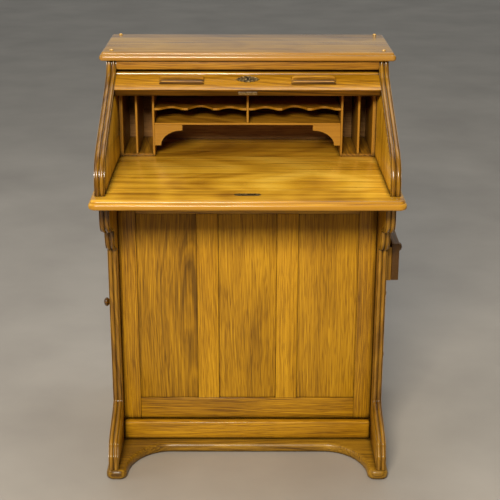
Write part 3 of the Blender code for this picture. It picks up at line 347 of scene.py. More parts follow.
def oak(name, grain, tones, board=0.0, heart=(0.05, 0.07), gloss=0.32, coat=0.14, corner_shade=0.88, edges=None,
        ring=300.0, fibre=260.0, figure=0.30, stained=0.32, swap=False):
    """Varnished oak, cut from a log whose axis leans a little against the board.

    A point's distance to the log's axis picks its growth ring, so a flat face shows cathedral arches
    where it passes near the heart, and straight lines beside them. Fibres and open pores are noise drawn
    out along the grain. board is the width of the boards glued side by side, each with its own tone.
    Pores are about 0.3 mm wide on real oak and are drawn 1 to 2 mm wide, so that they show."""
    material, tree, shader = start_material(name)
    put = functools.partial(add, tree)
    if grain == "uv":
        place = put("UVMap", settings={"uv_map": "along_the_board"})
        order = (0, 1, 2)
    else:
        place = put("TexCoord").outputs["Object"]
        first = "xyz".index(grain)
        order = (first, (first + 1) % 3, (first + 2) % 3)
    parts = put("SeparateXYZ", place).outputs
    length, wide, deep = (parts[i] for i in order)
    if swap:
        wide, deep = deep, wide
    seed = put("Attribute", settings={"attribute_name": "seed"}).outputs["Fac"]
    one = {"noise_dimensions": "1D"}
    if board:
        shifted = put("Math.ADD", wide, 10.0)
        number = put("Math.FLOOR", put("Math.DIVIDE", shifted, board))
        own = put("TexWhiteNoise", W=put("Math.ADD", number, seed), settings=one)
        length = put("Math.MULTIPLY_ADD", own, 3.0, length)
        middle = put("Math.MULTIPLY", put("Math.ADD", number, 0.5), board)
        local = put("Math.SUBTRACT", shifted, middle)
    else:
        own = put("TexWhiteNoise", W=seed, settings=one)
        local = wide
    length = put("Math.MULTIPLY_ADD", seed, SEED_STEP, length)
    drawn = put("CombineXYZ", length, wide, deep)

    def streaks(lengthwise, across, detail):
        """Noise with its own scale along the grain and across it."""
        scaled = put("VectorMath.MULTIPLY", drawn, (lengthwise, across, across))
        return put("TexNoise", Vector=scaled, Scale=1.0, Detail=detail)

    sway = put("Math.MULTIPLY_ADD", streaks(2.2, 7.0, 2.0), SWAY, -SWAY / 2)
    lean = put("Math.MULTIPLY_ADD", length, LOG_LEAN, heart[0])
    off_heart = put("Math.MULTIPLY_ADD", put("Math.SUBTRACT", own, 0.5), heart[1], local)
    off_heart = put("Math.ADD", off_heart, sway)
    under = put("Math.ADD", deep, heart[0])
    down = put("Math.ADD", put("Math.PINGPONG", lean, LOG_DEPTH), under)
    square = put("Math.ADD", put("Math.MULTIPLY", off_heart, off_heart), put("Math.MULTIPLY", down, down))
    radius = put("Math.MULTIPLY", put("Math.SQRT", square), ring)
    rings = put("TexNoise", W=radius, Scale=1.0, Detail=2.0, Roughness=0.6, settings=one)
    fibres = streaks(fibre * 0.027, fibre, 3.0)
    pores = streaks(fibre * 0.09, fibre * 2.0, 1.0)
    patches = streaks(3.0, 11.0, 3.0)

    tone = put("Math.MULTIPLY", rings, figure)
    tone = put("Math.MULTIPLY_ADD", fibres, FIBRE_SHARE, tone)
    tone = put("Math.MULTIPLY_ADD", patches, stained, tone)
    tone = put("Math.MULTIPLY_ADD", put("Math.SUBTRACT", own, 0.5), BOARD_SHARE, tone)
    middle = (figure + FIBRE_SHARE + stained) / 2
    spread = put("MapRange", Value=tone, From_Min=middle - TONE_REACH, From_Max=middle + TONE_REACH)
    colour = put("ValToRGB", spread, stops=list(zip((0.0, 0.30, 0.62, 1.0), tones)))
    open_pore = put("MapRange", Value=pores, From_Min=0.54, From_Max=0.68)
    colour = put("Mix", put("Math.MULTIPLY", open_pore, 0.42), i6=colour, i7=linear("#7a4c14"),
                 settings={"data_type": "RGBA", "blend_type": "MULTIPLY"})
    # Painted light and shade by the way a face turns: faces turned to -Y, towards the key lamp, take the
    # edges tones in place of the board's, lit tones on the pigeonholes' front edges and the board noses,
    # shaded tones on the drawers' near ends.
    if edges:
        facing = put("SeparateXYZ", put("NewGeometry").outputs["Normal"]).outputs[1]
        front = put("MapRange", Value=facing, From_Min=-0.6, From_Max=-0.9)
        lit = put("Mix", fibres, i6=linear(edges[0]), i7=linear(edges[1]), settings=RGBA)
        colour = put("Mix", front, i6=colour, i7=lit, settings=RGBA)
    # Painted shade: ambient occlusion darkens corners, creases and joints towards a near black brown, as
    # strongly as the weight given for it.
    corner = put("AmbientOcclusion", Distance=0.016, settings={"samples": 6}).outputs["AO"]
    painted_corner_shade = put("MapRange", Value=corner, From_Min=0.80, From_Max=0.35, To_Max=corner_shade)
    colour = put("Mix", painted_corner_shade, i6=colour, i7=linear("#241202"), settings=RGBA)
    relief = put("Math.SUBTRACT", put("Math.MULTIPLY", fibres, 0.6), open_pore)
    rough = put("MapRange", Value=patches, From_Min=0.3, From_Max=0.7, To_Min=gloss, To_Max=gloss + 0.14)
    fill(tree, shader, Base_Color=colour, Roughness=rough, Coat_Weight=coat, Coat_Roughness=0.14,
         Coat_IOR=VARNISH_IOR, IOR=VARNISH_IOR, Specular_IOR_Level=0.32,
         Normal=put("Bump", Strength=0.22, Distance=0.0006, Height=relief))
    return material


def worn_metal(name, dark, bright, roughness):
    """Metal with a tarnish that stays in the low places: noise blends the tarnish and the bare tone.

    Noise of scale 160 makes patches about 6 mm wide, and of scale 900 a grain about 1 mm wide."""
    material, tree, shader = start_material(name)
    place = add(tree, "TexCoord").outputs["Object"]
    patch = add(tree, "TexNoise", place, Scale=160.0, Detail=4.0)
    grit = add(tree, "TexNoise", place, Scale=900.0, Detail=2.0)
    colour = add(tree, "ValToRGB", patch, stops=[(0.35, dark), (0.66, bright)])
    open_sky = add(tree, "AmbientOcclusion", Distance=0.003, settings={"samples": 6}).outputs["AO"]
    hollow = add(tree, "Math.SUBTRACT", 1.0, open_sky)
    colour = add(tree, "Mix", hollow, i6=colour, i7=linear("#120c06"), settings=RGBA)
    fill(tree, shader, Base_Color=colour, Metallic=1.0,
         Roughness=add(tree, "MapRange", Value=patch, To_Min=roughness, To_Max=roughness + 0.2),
         Normal=add(tree, "Bump", Strength=0.25, Distance=0.0003, Height=grit))
    return material


def cloth(name, light, dark):
    """Cotton canvas, drawn coarse: threads 1.2 mm apart across the desk, times a slanted wave.

    A wave of scale s repeats every 2 pi / (20 s) metres along X, and twice as far along the slant."""
    material, tree, shader = start_material(name)
    place = add(tree, "TexCoord").outputs["Object"]
    warp = add(tree, "TexWave", place, Scale=260.0, settings={"bands_direction": "X"}).outputs["Fac"]
    weft = add(tree, "TexWave", place, Scale=260.0, settings={"bands_direction": "DIAGONAL"}).outputs["Fac"]
    weave = add(tree, "Math.MULTIPLY", warp, weft)
    colour = add(tree, "ValToRGB", weave, stops=[(0.0, dark), (0.8, light)])
    fill(tree, shader, Base_Color=colour, Roughness=0.9,
         Normal=add(tree, "Bump", Strength=0.3, Distance=0.0004, Height=weave))
    return material


GOLD = ("#6f490a", "#9a6d0e", "#b88612", "#d09d1c")
PANEL = ("#6b4a08", "#94690c", "#b28211", "#ca991a")
BROWN = ("#4a2d05", "#79520a", "#9d7012", "#b88a20")
DEEP = ("#2a1702", "#4c3006", "#6a460b", "#835a14")
INSIDE = ("#4b2f08", "#7a520d", "#9b6d14", "#b5831e")
SHADE = ("#62431f", "#7d572b", "#906838", "#a27845")
RAIL = ("#5c3906", "#93640c", "#b57f14", "#d09926")
TOP = ("#5c3f10", "#875f18", "#a57922", "#bc8f30")
FOOT = ("#4a300a", "#7d5a12", "#9c741a", "#b58b26")
BEAD = ("#5c3c0a", "#7c550e", "#926814", "#aa7c1c")
# Writing board tones, paler than the front's: partly rubbed wood, partly painted light for the bright level
# top.
RUBBED_AND_LIT = ("#7a4f10", "#b5821c", "#d9a52c", "#efc046")

# Solid oak under aged amber varnish: vertical boards read golden with thin dark lines.
golden = {axis: oak("solid_oak_amber_varnish_grain_" + axis, axis, GOLD) for axis in "xyz"}
# Glued up flat-sawn oak: each board of a panel has its own tone, which breaks up the wide front.
panel_oak = oak("glued_oak_panels_amber_varnish", "z", PANEL, board=0.075, heart=(0.06, 0.20), swap=True,
                figure=0.24)
# The writing board, rubbed smooth: long figure, drawn coarse because it is seen at a flat angle. Its pale
# tones are partly rubbed wood and partly painted light for the bright level top; its nose, turned to the
# lamp, takes tones of its own, painted light by the way it faces.
writing_oak = oak("rubbed_oak_writing_board_with_painted_light", "x", RUBBED_AND_LIT, board=0.150, heart=(0.035, 0.11), gloss=0.24,
                  coat=0.3, ring=100.0, fibre=58.0, figure=0.34, stained=0.16, edges=("#9a6a14", "#c28e2c"))
# The top board keeps its varnish, so it mirrors the pale surround. Its nose, turned to the lamp, takes
# lighter tones of its own: painted light.
top_oak = oak("polished_oak_top_board", "x", TOP, board=0.16, heart=(0.04, 0.10), gloss=0.24, coat=0.5,
              ring=100.0, fibre=58.0, stained=0.18, edges=("#8a5c18", "#bb8a38"))
# Ends handled for years: browner, with straight grain.
gable_oak = oak("sawn_oak_ends_brown_varnish", "z", BROWN)
# Beads moulded along the front edges: the glossy coat puts a thin light line on each.
bead_oak = oak("moulded_oak_beads_brown_varnish", "uv", BEAD, heart=(0.10, 0.0), gloss=0.22, coat=0.45,
               corner_shade=0.9)
# Floor board scuffed by feet: dull and brown.
base_oak = oak("scuffed_oak_floor_board", "x", FOOT, gloss=0.32, corner_shade=0.9)
# The lift rail shows strong orange figure, and painted shade in the corners round the lifts.
rail_oak = oak("figured_oak_lift_rail", "x", RAIL, heart=(0.045, 0.03), gloss=0.24, coat=0.5, corner_shade=0.95)
# Very dark tones for the underside of the lift rail's foot; the same finish is painted shade in the lifts'
# finger grooves.
dark_foot_and_groove_shade_oak = oak("stained_oak_rail_foot", "x", ("#1d0f02", "#3f2706", "#6a470f", "#8f651c"), coat=0.1,
               gloss=0.45, ring=120.0)
# Knobs turned from oak, in dark tones.
turned_oak = oak("turned_oak_dark_knobs", "x", DEEP, heart=(0.02, 0.02), gloss=0.24, coat=0.8)
# Drawer fronts on the shaded side, in deep brown tones: partly a dark finish, partly painted shade for the
# penumbra they stand in. Their near ends, turned to the front, take tones of their own: painted shadow of the
# post.
drawer_oak = oak("sawn_oak_drawer_fronts", "y", DEEP, edges=("#3c260a", "#593a12"))
# Curtain slats moulded from straight oak.
slat_oak = oak("moulded_oak_slats_amber_varnish", "x", GOLD, heart=(0.06, 0.10), corner_shade=0.9)
# Thin oak inside: dull and dark, with front edges turned to the lamp painted paler, painted light that draws
# the pigeonholes.
THIN_FRONT_LIGHT = ("#84580e", "#b08126")
thin = {
    "x": oak("thin_oak_shelves", "x", INSIDE, gloss=0.42, coat=0.1, corner_shade=0.7, edges=THIN_FRONT_LIGHT),
    "z": oak("thin_oak_uprights", "z", INSIDE, gloss=0.42, coat=0.1, edges=THIN_FRONT_LIGHT),
    "y": oak("thin_oak_bottoms", "y", INSIDE, gloss=0.5, coat=0.1),
}
# Backs in a faded grey brown, darkened further as painted shade for the dark slots.
back_oak = oak("faded_oak_back_board_with_painted_shade", "x", SHADE, gloss=0.6, coat=0.0, corner_shade=0.3, figure=0.15)
back_panel = oak("faded_oak_back_panels", "z", INSIDE, board=0.11, heart=(0.05, 0.15), swap=True, gloss=0.45,
                 coat=0.1)
# Pale end grain of the plugs, and the brown rail under the top.
plug_oak = oak("end_grain_oak_plugs", "z", ("#8e6428", "#b98a3a", "#d6a850", "#e6bd68"), gloss=0.22, coat=0.8)
header_oak = oak("sawn_oak_header_rail", "x", ("#553408", "#7d520f", "#9b6a17", "#b07f24"))
# Stamped brass, brown in the hollows and rubbed on the high places.
brass = worn_metal("stamped_brass_aged_brown", "#3e3222", "#8f7a50", 0.34)
# Lock case of rolled steel, dull grey.
steel = worn_metal("rolled_steel_dull", "#7d776b", "#cfc9bb", 0.45)
# Painted shade: a near black finish that stands for the dark inside the keyhole.
painted_hole_shade, hole_tree, hole_shader = start_material("painted_shade_in_a_keyhole")
fill(hole_tree, hole_shader, Base_Color=linear("#0b0704"), Roughness=0.9)
# Backing cloth of the curtain.
canvas = cloth("brown_cotton_canvas", "#7a6546", "#4b3b25")


def remake(node, material):
    """Give a CAD node its finish."""
    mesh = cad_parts[node].data
    mesh.materials.clear()
    mesh.materials.append(material)


# ---------------------------------------------------------------- boards with a moulded edge
NOSE_SECTION = (                # inset and height of the moulded edge, as parts of the nose and the thickness
    (0.80, 0.00), (0.36, 0.05), (0.10, 0.14), (0.00, 0.28), (0.00, 0.40), (0.06, 0.52), (0.22, 0.63),
    (0.46, 0.70), (0.62, 0.71), (0.64, 0.80), (0.74, 0.90), (0.96, 0.97), (1.30, 1.00),
)


def moulded_board(name, low, high, corner, nose, material, seed, replaces):
    """A board with rounded plan corners whose edge is a nose under a small step.

    Every ring is the plan outline drawn in by the section's inset at the section's height."""
    rings = []
    for inset, rise in NOSE_SECTION:
        shrink = inset * nose
        outline = rounded_rectangle(low[:2] + shrink, high[:2] - shrink, max(corner - shrink, 0.002), 8)
        rings.append(raised(outline, [low[2] + rise * (high[2] - low[2])])[0])
    return loft(name, rings, material, "case", seed, replaces, sharp=40.0)


def carve(piece, tool):
    """Take a tool's shape out of a piece for good, and keep the piece's seed all over."""
    seed = piece.data.attributes["seed"].data[0].value
    cutting = piece.modifiers.new("cut", "BOOLEAN")
    cutting.object = tool
    cutting.solver = "EXACT"
    bpy.context.view_layer.update()
    cut = bpy.data.meshes.new_from_object(piece.evaluated_get(bpy.context.evaluated_depsgraph_get()))
    piece.modifiers.clear()
    piece.data = cut
    plant_seed(cut, seed)
    cut.set_sharp_from_angle(angle=math.radians(32))
    bpy.data.objects.remove(tool)


def stadium(half_length, radius, centre):
    """Outline of a strip with round ends."""
    left = np.radians(np.linspace(90, 270, 11))
    right = np.radians(np.linspace(-90, 90, 11))
    reach = half_length - radius
    ends = [np.stack([reach + radius * np.cos(right), radius * np.sin(right)], -1),
            np.stack([-reach + radius * np.cos(left), radius * np.sin(left)], -1)]
    return np.concatenate(ends) + centre


def raised(outline, heights):
    """Rings that repeat a plan outline at several heights."""
    return np.stack([np.hstack([outline, np.full((len(outline), 1), z)]) for z in heights])


def side_by_side(section, stations):
    """Rings that repeat a section in the side view at several x."""
    return np.stack([np.hstack([np.full((len(section), 1), x), section]) for x in stations])


def turned(radii, heights, points):
    """Rings of a shape turned about Z, one of each radius at each height."""
    turn = np.radians(np.linspace(0, 360, points, endpoint=False))
    radii, heights = np.asarray(radii)[:, None], np.asarray(heights)[:, None]
    return np.stack(np.broadcast_arrays(radii * np.cos(turn), radii * np.sin(turn), heights), -1)


def writing_board():
    """Writing board, with the strike plate let in and its two screws."""
    board = moulded_board("writing_board", WRITING_LOW, WRITING_HIGH, 0.018, 0.0075, writing_oak, 0.31,
                          "writing_surface")
    low, high = corners("strike_plate")
    centre = (low[:2] + high[:2]) / 2
    half = (high - low) / 2
    under_plate, over_board = 0.006, 0.004
    outline = stadium(half[0] + HAIR, half[1] + HAIR, centre)
    recess = raised(outline, (low[2] - under_plate, WRITING_Z + over_board))
    carve(board, loft("strike_recess", recess, painted_hole_shade, "case"))
    remake("strike_plate", brass)
    for side, x in (("left", -0.024), ("right", 0.024)):
        screw("strike_screw_" + side, Matrix.Translation((x, centre[1], high[2] - 0.0005)), 0.0030, "case")


def screw(name, matrix, radius, body):
    """A domed slotted head: rings of a flat dome, then a slot cut across it."""
    shares = np.array((1.0, 1.0, 0.86, 0.5, 0.12))
    heights = (-0.0004, 0.0001, 0.00035, 0.0006, 0.0007)
    head = loft(name, moved(turned(radius * shares, heights, 24), matrix), brass, body, slot="aged_brass")
    half_slot = np.array((radius * 1.2, radius * 0.13))
    slit = raised(rounded_rectangle(-half_slot, half_slot, 0.0001, 1), (0.0001, 0.002))
    carve(head, loft(name + "_slot", moved(slit, matrix), brass, body))


def top():
    """Top board, its four domed plugs and the rail under its front."""
    plug_radius, plug_rise, plug_sunk = 0.0052, 0.004, 0.001
    front_plugs, back_plugs = TOP_LOW[1] + 0.030, TOP_HIGH[1] - 0.020
    high = TOP_HIGH - np.array([0, 0, plug_rise])
    moulded_board("top_board_moulded", TOP_LOW, high, 0.010, 0.0085, top_oak, 0.77, "top_board")
    dome = np.radians(np.linspace(0, 88, 8))
    radii = plug_radius * np.concatenate([[1.0], np.cos(dome)])
    rings = turned(radii, np.concatenate([[-plug_sunk], plug_rise * np.sin(dome)]), 28)
    for side, x in (("left", -OUTER_X + BOARD / 2), ("right", OUTER_X - BOARD / 2)):
        for end, y in (("front", front_plugs), ("back", back_plugs)):
            spot = Matrix.Translation((x, y, high[2]))
            loft("plug_%s_%s" % (side, end), moved(rings, spot), plug_oak, "case", x + y)
    plank("header", *corners("header_rail"), "x", header_oak, 0.52, 0.002, replaces="header_rail")


# ---------------------------------------------------------------- ends and gables
def shaved(name, node, line, seed):
    """A copy of a CAD board whose front edge is set back along the line, to seat a beaded strip."""
    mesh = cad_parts[node].data.copy()
    shape = bmesh.new()
    shape.from_mesh(mesh)
    bmesh.ops.remove_doubles(shape, verts=shape.verts, dist=0.00002)
    shape.to_mesh(mesh)
    shape.free()
    points = vectors(mesh.vertices, "co")
    far = np.linalg.norm(points[:, None, 1:] - line[None], axis=2)
    nearest, on_edge = far.argmin(1), far.min(1) < 0.0022
    points[on_edge, 1:] -= edge_normals(line)[nearest[on_edge]] * (BEAD_SEAT - BEAD_LAP)
    mesh.vertices.foreach_set("co", points.astype(np.float32).ravel())
    mesh.update()
    dress(mesh, name, gable_oak, "case", seed, node)


def beaded_strip(name, line, low_x, high_x, seed):
    """A strip with two half-round beads and a fillet at each side, carried along a line.

    Across the edge a bead stands up as depth * sqrt(1 - t^2), with t from -1 to 1 over its width."""
    thick = high_x - low_x
    x = np.linspace(-thick / 2, thick / 2, 45)
    fillet, quirk = 0.0016, 0.0009
    radius = (thick / 2 - fillet - quirk) / 2
    t = (np.abs(x) - quirk - radius) / radius
    rise = np.where(np.abs(t) < 1, BEAD_DEPTH * np.sqrt(np.clip(1 - t * t, 0, 1)), 0.0)
    rise = np.where(np.abs(x) > thick / 2 - fillet, BEAD_DEPTH * 0.45, rise) - BEAD_DEPTH
    middle, overlap = (low_x + high_x) / 2, 0.0002
    across = np.concatenate([[x[0]], x, [x[-1]]]) * (1 + overlap / thick) + middle
    out = np.concatenate([[-BEAD_SEAT], rise, [-BEAD_SEAT]])
    rings = np.empty((len(line), len(across), 3))
    rings[:, :, 0] = across
    rings[:, :, 1:] = line[:, None, :] + out[None, :, None] * edge_normals(line)[:, None, :]
    loft(name, rings, bead_oak, "case", seed, sharp=50.0)


def quarter(centre, radii, start, end, steps=14):
    """Points of an ellipse arc, angles in degrees."""
    t = np.radians(np.linspace(start, end, steps))
    return np.array(centre) + np.stack([radii[0] * np.cos(t), radii[1] * np.sin(t)], -1)


def post_lines():
    """The front edge of a lower end, from the floor up: sweeping foot and post, then two bracket lobes.

    The sweep between foot and post is half a cosine wave; toe and lobes are quarter ellipses."""
    low, high = POST_LOW[2], POST_HIGH[2] + HAIR
    post, toe, foot_back = FRONT_Y + 0.1985, FRONT_Y + 0.050, 0.065
    sweep_low, sweep_rise = 0.061, 0.065
    share = np.linspace(0, 1, 40)
    sway = (1 - np.cos(np.pi * share)) / 2
    sweep_y = post + (FRONT_Y + foot_back - post) * sway
    sweep = np.stack([sweep_y, low + sweep_low + sweep_rise * (1 - share)], -1)
    foot = np.array([(toe, low), (toe, low + 0.014), (toe, low + 0.027)])
    toe_round = quarter((FRONT_Y + foot_back, low + 0.034), (0.015, 0.007), 180, 150, 4)
    second_centre, first_centre = (post, high - 0.1145), (FRONT_Y + 0.125, high - 0.0595)
    second_radii, first_radii = (0.0475, 0.060), (0.061, 0.043)
    upright_ends = (low + sweep_low + sweep_rise + 0.001, second_centre[1] - second_radii[1])
    upright = np.stack([np.full(20, post), np.linspace(*upright_ends, 20)], -1)
    lower = np.concatenate([foot, toe_round, sweep[::-1], upright])
    second = quarter(second_centre, second_radii, 270, 180)
    step = np.array([(post - second_radii[0], second_centre[1]),
                     (first_centre[0], first_centre[1] - first_radii[1])])
    first = quarter(first_centre, first_radii, 270, 180)
    front = first_centre[0] - first_radii[0]
    crown = np.array([(front, high - 0.03), (front, high - HAIR)])
    return lower, second, step, np.concatenate([first, crown])


def smoothed(line):
    """The same line with points about 3 mm apart."""
    done = distances_along(line)
    keep = np.concatenate([[True], np.diff(done) > 1e-7])
    even = np.linspace(0, done[-1], max(4, int(done[-1] / 0.003)))
    return np.stack([np.interp(even, done[keep], line[keep, i]) for i in (0, 1)], -1)


def ends_and_gables():
    """Boards of the ends, with their beaded front strips."""
    _, _, length = along(GABLE_START, 90.0, GABLE_EDGE, 0.0)
    s_line, _, _ = along(GABLE_START, 90.0, GABLE_EDGE, np.linspace(0, length, 170))
    lower, second, step, first = [smoothed(line) for line in post_lines()]
    whole = np.concatenate([lower, second, step, first])
    for number, (side, sign) in enumerate((("left", -1), ("right", 1))):
        x0, x1 = sorted((sign * OUTER_X, sign * INNER_X))
        shaved("gable_board_" + side, "gable_" + side, s_line, 0.21 + number)
        beaded_strip("gable_bead_" + side, s_line, x0, x1, 0.44 + number)
        shaved("post_board_" + side, "end_post_" + side, whole, 0.83 + number)
        for part, line in (("foot", lower), ("lower_lobe", second), ("upper_lobe", first)):
            beaded_strip("post_bead_%s_%s" % (part, side), line, x0, x1, 0.61 + number + len(part))


# ---------------------------------------------------------------- the case below the writing board
DRAWER_FACES = {4: 0.1923, 3: 0.1238, 2: 0.0992, 1: 0.0987}     # height of each drawer's front, lowest first
FLOOR_EDGE = (                  # inset of the floor board's edge, and height as a part of the thickness
    (0.003, 0.0), (0.0008, 0.08), (0.0, 0.2), (0.0, 0.52), (0.0012, 0.72), (0.0036, 0.89), (0.0070, 0.98),
    (0.0095, 1.0),
)


def front():
    """Front frame: stiles, muntins between top and bottom rails, flat panels and the toe rail."""
    low, high = FRAME_LOW, FRAME_HIGH
    y0, y1 = low[1], high[1]
    stile_in = high[0] - STILE
    half_bay = PANEL_BAY / 2
    top_z, bottom_z = WRITING_LOW[2] - TOP_RAIL, BOTTOM_RAIL_TOP
    for side, x0, x1, seed in (("left", low[0], -stile_in, 0.15), ("right", stile_in, high[0], 0.95)):
        plank("front_stile_" + side, (x0, y0, low[2]), (x1, y1, high[2]), "z", golden, seed,
              replaces="front_frame" if side == "left" else ())
    for side, x0, seed in (("left", -half_bay - MUNTIN, 0.36), ("right", half_bay, 1.48)):
        plank("front_muntin_" + side, (x0, y0, bottom_z + HAIR), (x0 + MUNTIN, y1, top_z - HAIR), "z", golden,
              seed)
    for part, z0, z1, seed in (("bottom", low[2], bottom_z, 0.27), ("top", top_z, high[2], 0.66)):
        plank("front_rail_" + part, (-stile_in + HAIR, y0, z0), (stile_in - HAIR, y1, z1), "x", golden, seed)
    for side, seed in (("left", 0.0), ("middle", 0.4), ("right", 0.8)):
        node = "front_panel_" + side
        plank(node + "_boards", *corners(node), "z", panel_oak, seed, PANEL_EASE, replaces=node)
    plank("toe_rail_rounded", *corners("toe_rail"), "x", golden, 0.58, TOE_EASE, replaces="toe_rail")


def base():
    """Floor board: plan outline with horns and a hollow front, its edge rounded over.

    Each half of the outline is a quarter circle, a quarter ellipse on the horn's inner side, and a
    quarter ellipse for the hollow. Every ring is the outline moved in along its normals."""
    low, high = corners("base_platform")
    half, back = high[0], high[1]
    horn_width, horn_round, horn_inner_round, hollow_width = 0.052, 0.020, 0.0192, 0.105
    inner, horn = half - horn_width, low[1] + horn_round
    hollow_depth = FRONT_Y + 0.187 - horn
    right = np.concatenate([
        [(half, back)],
        quarter((half - horn_round, horn), (horn_round, horn_round), 0, -90, 10),
        quarter((inner + horn_inner_round, horn), (horn_inner_round, horn_round), -90, -180, 10),
        quarter((inner - hollow_width, horn), (hollow_width, hollow_depth), 0, 90, 26)[1:]])
    outline = np.concatenate([right, right[::-1] * (-1, 1)])
    chord = np.roll(outline, -1, 0) - np.roll(outline, 1, 0)
    normal = np.stack([chord[:, 1], -chord[:, 0]], -1)
    normal /= np.linalg.norm(normal, axis=1)[:, None]
    outward = np.sign(normal[1, 0])
    rings = [raised(outline - outward * normal * inset, [low[2] + rise * (high[2] - low[2])])[0]
             for inset, rise in FLOOR_EDGE]
    loft("floor_board", rings, base_oak, "case", 0.09, "base_platform", "oak_worn", sharp=50.0)


def side_frames():
    """Rails and stiles behind the posts, round the door on the left and the drawers on the right."""
    door_low, door_high = corners("door_frame")
    tops = {number: corners("drawer_%d" % number)[1] for number in DRAWER_FACES}
    gaps = [(tops[number][2] - face, tops[number][2]) for number, face in DRAWER_FACES.items()]
    layout = (("left", -1, door_high[1] + 0.0025, [(door_low[2], door_high[2])]),
              ("right", 1, tops[4][1] + 0.001, gaps))
    for side, sign, stile, openings in layout:
        low, high = corners("side_frame_" + side)
        plank("rear_stile_" + side, (low[0], stile, low[2]), high, "z", golden, 0.47 * sign,
              replaces="side_frame_" + side)
        edges = [low[2]]
        for bottom, over in openings:
            edges += [bottom - 0.001, over + 0.001]
        edges.append(high[2])
        for number, (z0, z1) in enumerate(zip(edges[::2], edges[1::2])):
            plank("side_rail_%s_%d" % (side, number), (low[0], low[1], z0), (high[0], stile - HAIR, z1), "y",
                  golden, 0.13 + number * 0.62)


def knob(name, node, body, sign):
    """Turned knob: foot, hollow neck and domed head, spun about X.

    Along its length, as a share, the radius falls over the foot, stays thin over the neck, swells as a
    power 0.6 to its widest, and closes as a quarter ellipse."""
    low, high = corners(node)
    centre = (low + high) / 2
    radius, length = (high[1] - low[1]) / 2, high[0] - low[0]
    start = low[0] if sign > 0 else high[0]
    neck_end, widest = 0.36, 0.66
    share = np.linspace(0, 1, 30)
    swell = 0.5 + 0.5 * np.clip((share - neck_end) / 0.26, 0, 1) ** 0.6
    dome = np.sqrt(np.clip(1 - ((share - widest) / 0.345) ** 2, 0, 1))
    head = np.maximum(np.where(share > widest, dome, swell), 0.02)
    neck = np.maximum(0.45 + 0.2 * np.clip(1 - share / 0.1, 0, 1), 0.46)
    rings = turned(radius * np.where(share < neck_end, neck, head), start + sign * length * share, 28)
    rings = rings[:, :, [2, 0, 1]] + (0.0, centre[1], centre[2])
    loft(name, rings, turned_oak, body, centre[2], node, "oak_worn", sharp=50.0)


def drawers():
    """Each drawer: front, two sides, back and bottom, and its knob."""
    front, side, floor_groove, floor = 0.019, 0.009, 0.0005, 0.007
    inside_slot = {"slot": "oak_inside"}
    for number, face in reversed(DRAWER_FACES.items()):
        node = "drawer_%d" % number
        low, high = corners(node)
        seed = number * 0.71
        front_low = (high[0] - front, FRONT_Y + 0.2463, high[2] - face)
        plank(node + "_front", front_low, high, "y", drawer_oak, seed, body=node, replaces=node)
        inside, rim = high[0] - front - HAIR, high[2] - 0.011
        for part, y0, y1 in (("near", low[1], low[1] + side), ("far", high[1] - side, high[1])):
            plank("%s_side_%s" % (node, part), (low[0], y0, low[2]), (inside, y1, rim), "x", thin, seed + y1,
                  0.001, node, **inside_slot)
        y0, y1 = low[1] + side + HAIR, high[1] - side - HAIR
        plank(node + "_back", (low[0], y0, low[2] + floor + floor_groove), (low[0] + side, y1, rim), "y",
              thin, seed + 0.2, 0.001, node, **inside_slot)
        plank(node + "_bottom", (low[0], y0, low[2] + floor_groove), (inside, y1, low[2] + floor), "y", thin,
              seed + 0.5, 0.0005, node, **inside_slot)
        knob(node + "_turned_knob", node + "_knob", node, 1)


def door():
    """Cupboard door: stiles, rails, flat panel, knob and the leaves of its two hinges."""
    low, high = corners("door_frame")
    member, body = DOOR_MEMBER, "cupboard_door"
    stile_in = (low[1] + member, high[1] - member)
    rail_in = (low[2] + member, high[2] - member)
    for part, y0, y1, seed in (("front", low[1], stile_in[0], 0.3), ("rear", stile_in[1], high[1], 0.9)):
        plank("door_stile_" + part, (low[0], y0, low[2]), (high[0], y1, high[2]), "z", golden, seed,
              body=body, replaces="door_frame" if part == "front" else ())
    y0, y1 = stile_in[0] + HAIR, stile_in[1] - HAIR
    for part, z0, z1, seed in (("lower", low[2], rail_in[0], 0.5), ("upper", rail_in[1], high[2], 1.1)):
        plank("door_rail_" + part, (low[0], y0, z0), (high[0], y1, z1), "y", golden, seed, body=body)
    plank("door_panel_board", *corners("door_panel"), "z", panel_oak, 0.7, PANEL_EASE, body,
          replaces="door_panel")
    knob("door_turned_knob", "door_knob", body, -1)
    leaf_inset, leaf_width, leaf_proud, leaf_short = 0.001, 0.015, 0.001, 0.004
    for end in ("lower", "upper"):
        a, b = corners("door_hinge_" + end)
        leaf_low = (low[0] + leaf_inset, high[1] + HAIR, a[2] + leaf_short)
        leaf_high = (low[0] + leaf_inset + leaf_width, high[1] + leaf_proud, b[2] - leaf_short)
        plank("door_leaf_" + end, leaf_low, leaf_high, "z", brass, 0, 0.0003, body, slot="aged_brass")
        remake("door_hinge_" + end, brass)


def framed_back(node, bays):
    """A framed back: stiles, rails and panels let in from behind."""
    low, high = corners(node)
    member = BACK_MEMBER
    let_in_front, let_in_behind = 0.002, 0.006
    bay = (high[0] - low[0] - member) / bays
    for number in range(bays + 1):
        x = low[0] + number * bay
        plank("%s_stile_%d" % (node, number), (x, low[1], low[2]), (x + member, high[1], high[2]), "z", thin,
              0.2 + number * 0.6, replaces=node if number == 0 else (), slot="oak_inside")
    for number in range(bays):
        x0, x1 = low[0] + member + number * bay + HAIR, low[0] + (number + 1) * bay - HAIR
        for part, z0, z1 in (("lower", low[2], low[2] + member), ("upper", high[2] - member, high[2])):
            plank("%s_%s_rail_%d" % (node, part, number), (x0, low[1], z0), (x1, high[1], z1), "x", thin,
                  0.4 + number + z0, slot="oak_inside")
        panel_low = (x0, low[1] + let_in_front, low[2] + member + HAIR)
        panel_high = (x1, high[1] - let_in_behind, high[2] - member - HAIR)
        plank("%s_panel_%d" % (node, number), panel_low, panel_high, "z", back_panel, 0.8 + number,
              slot="oak_inside")


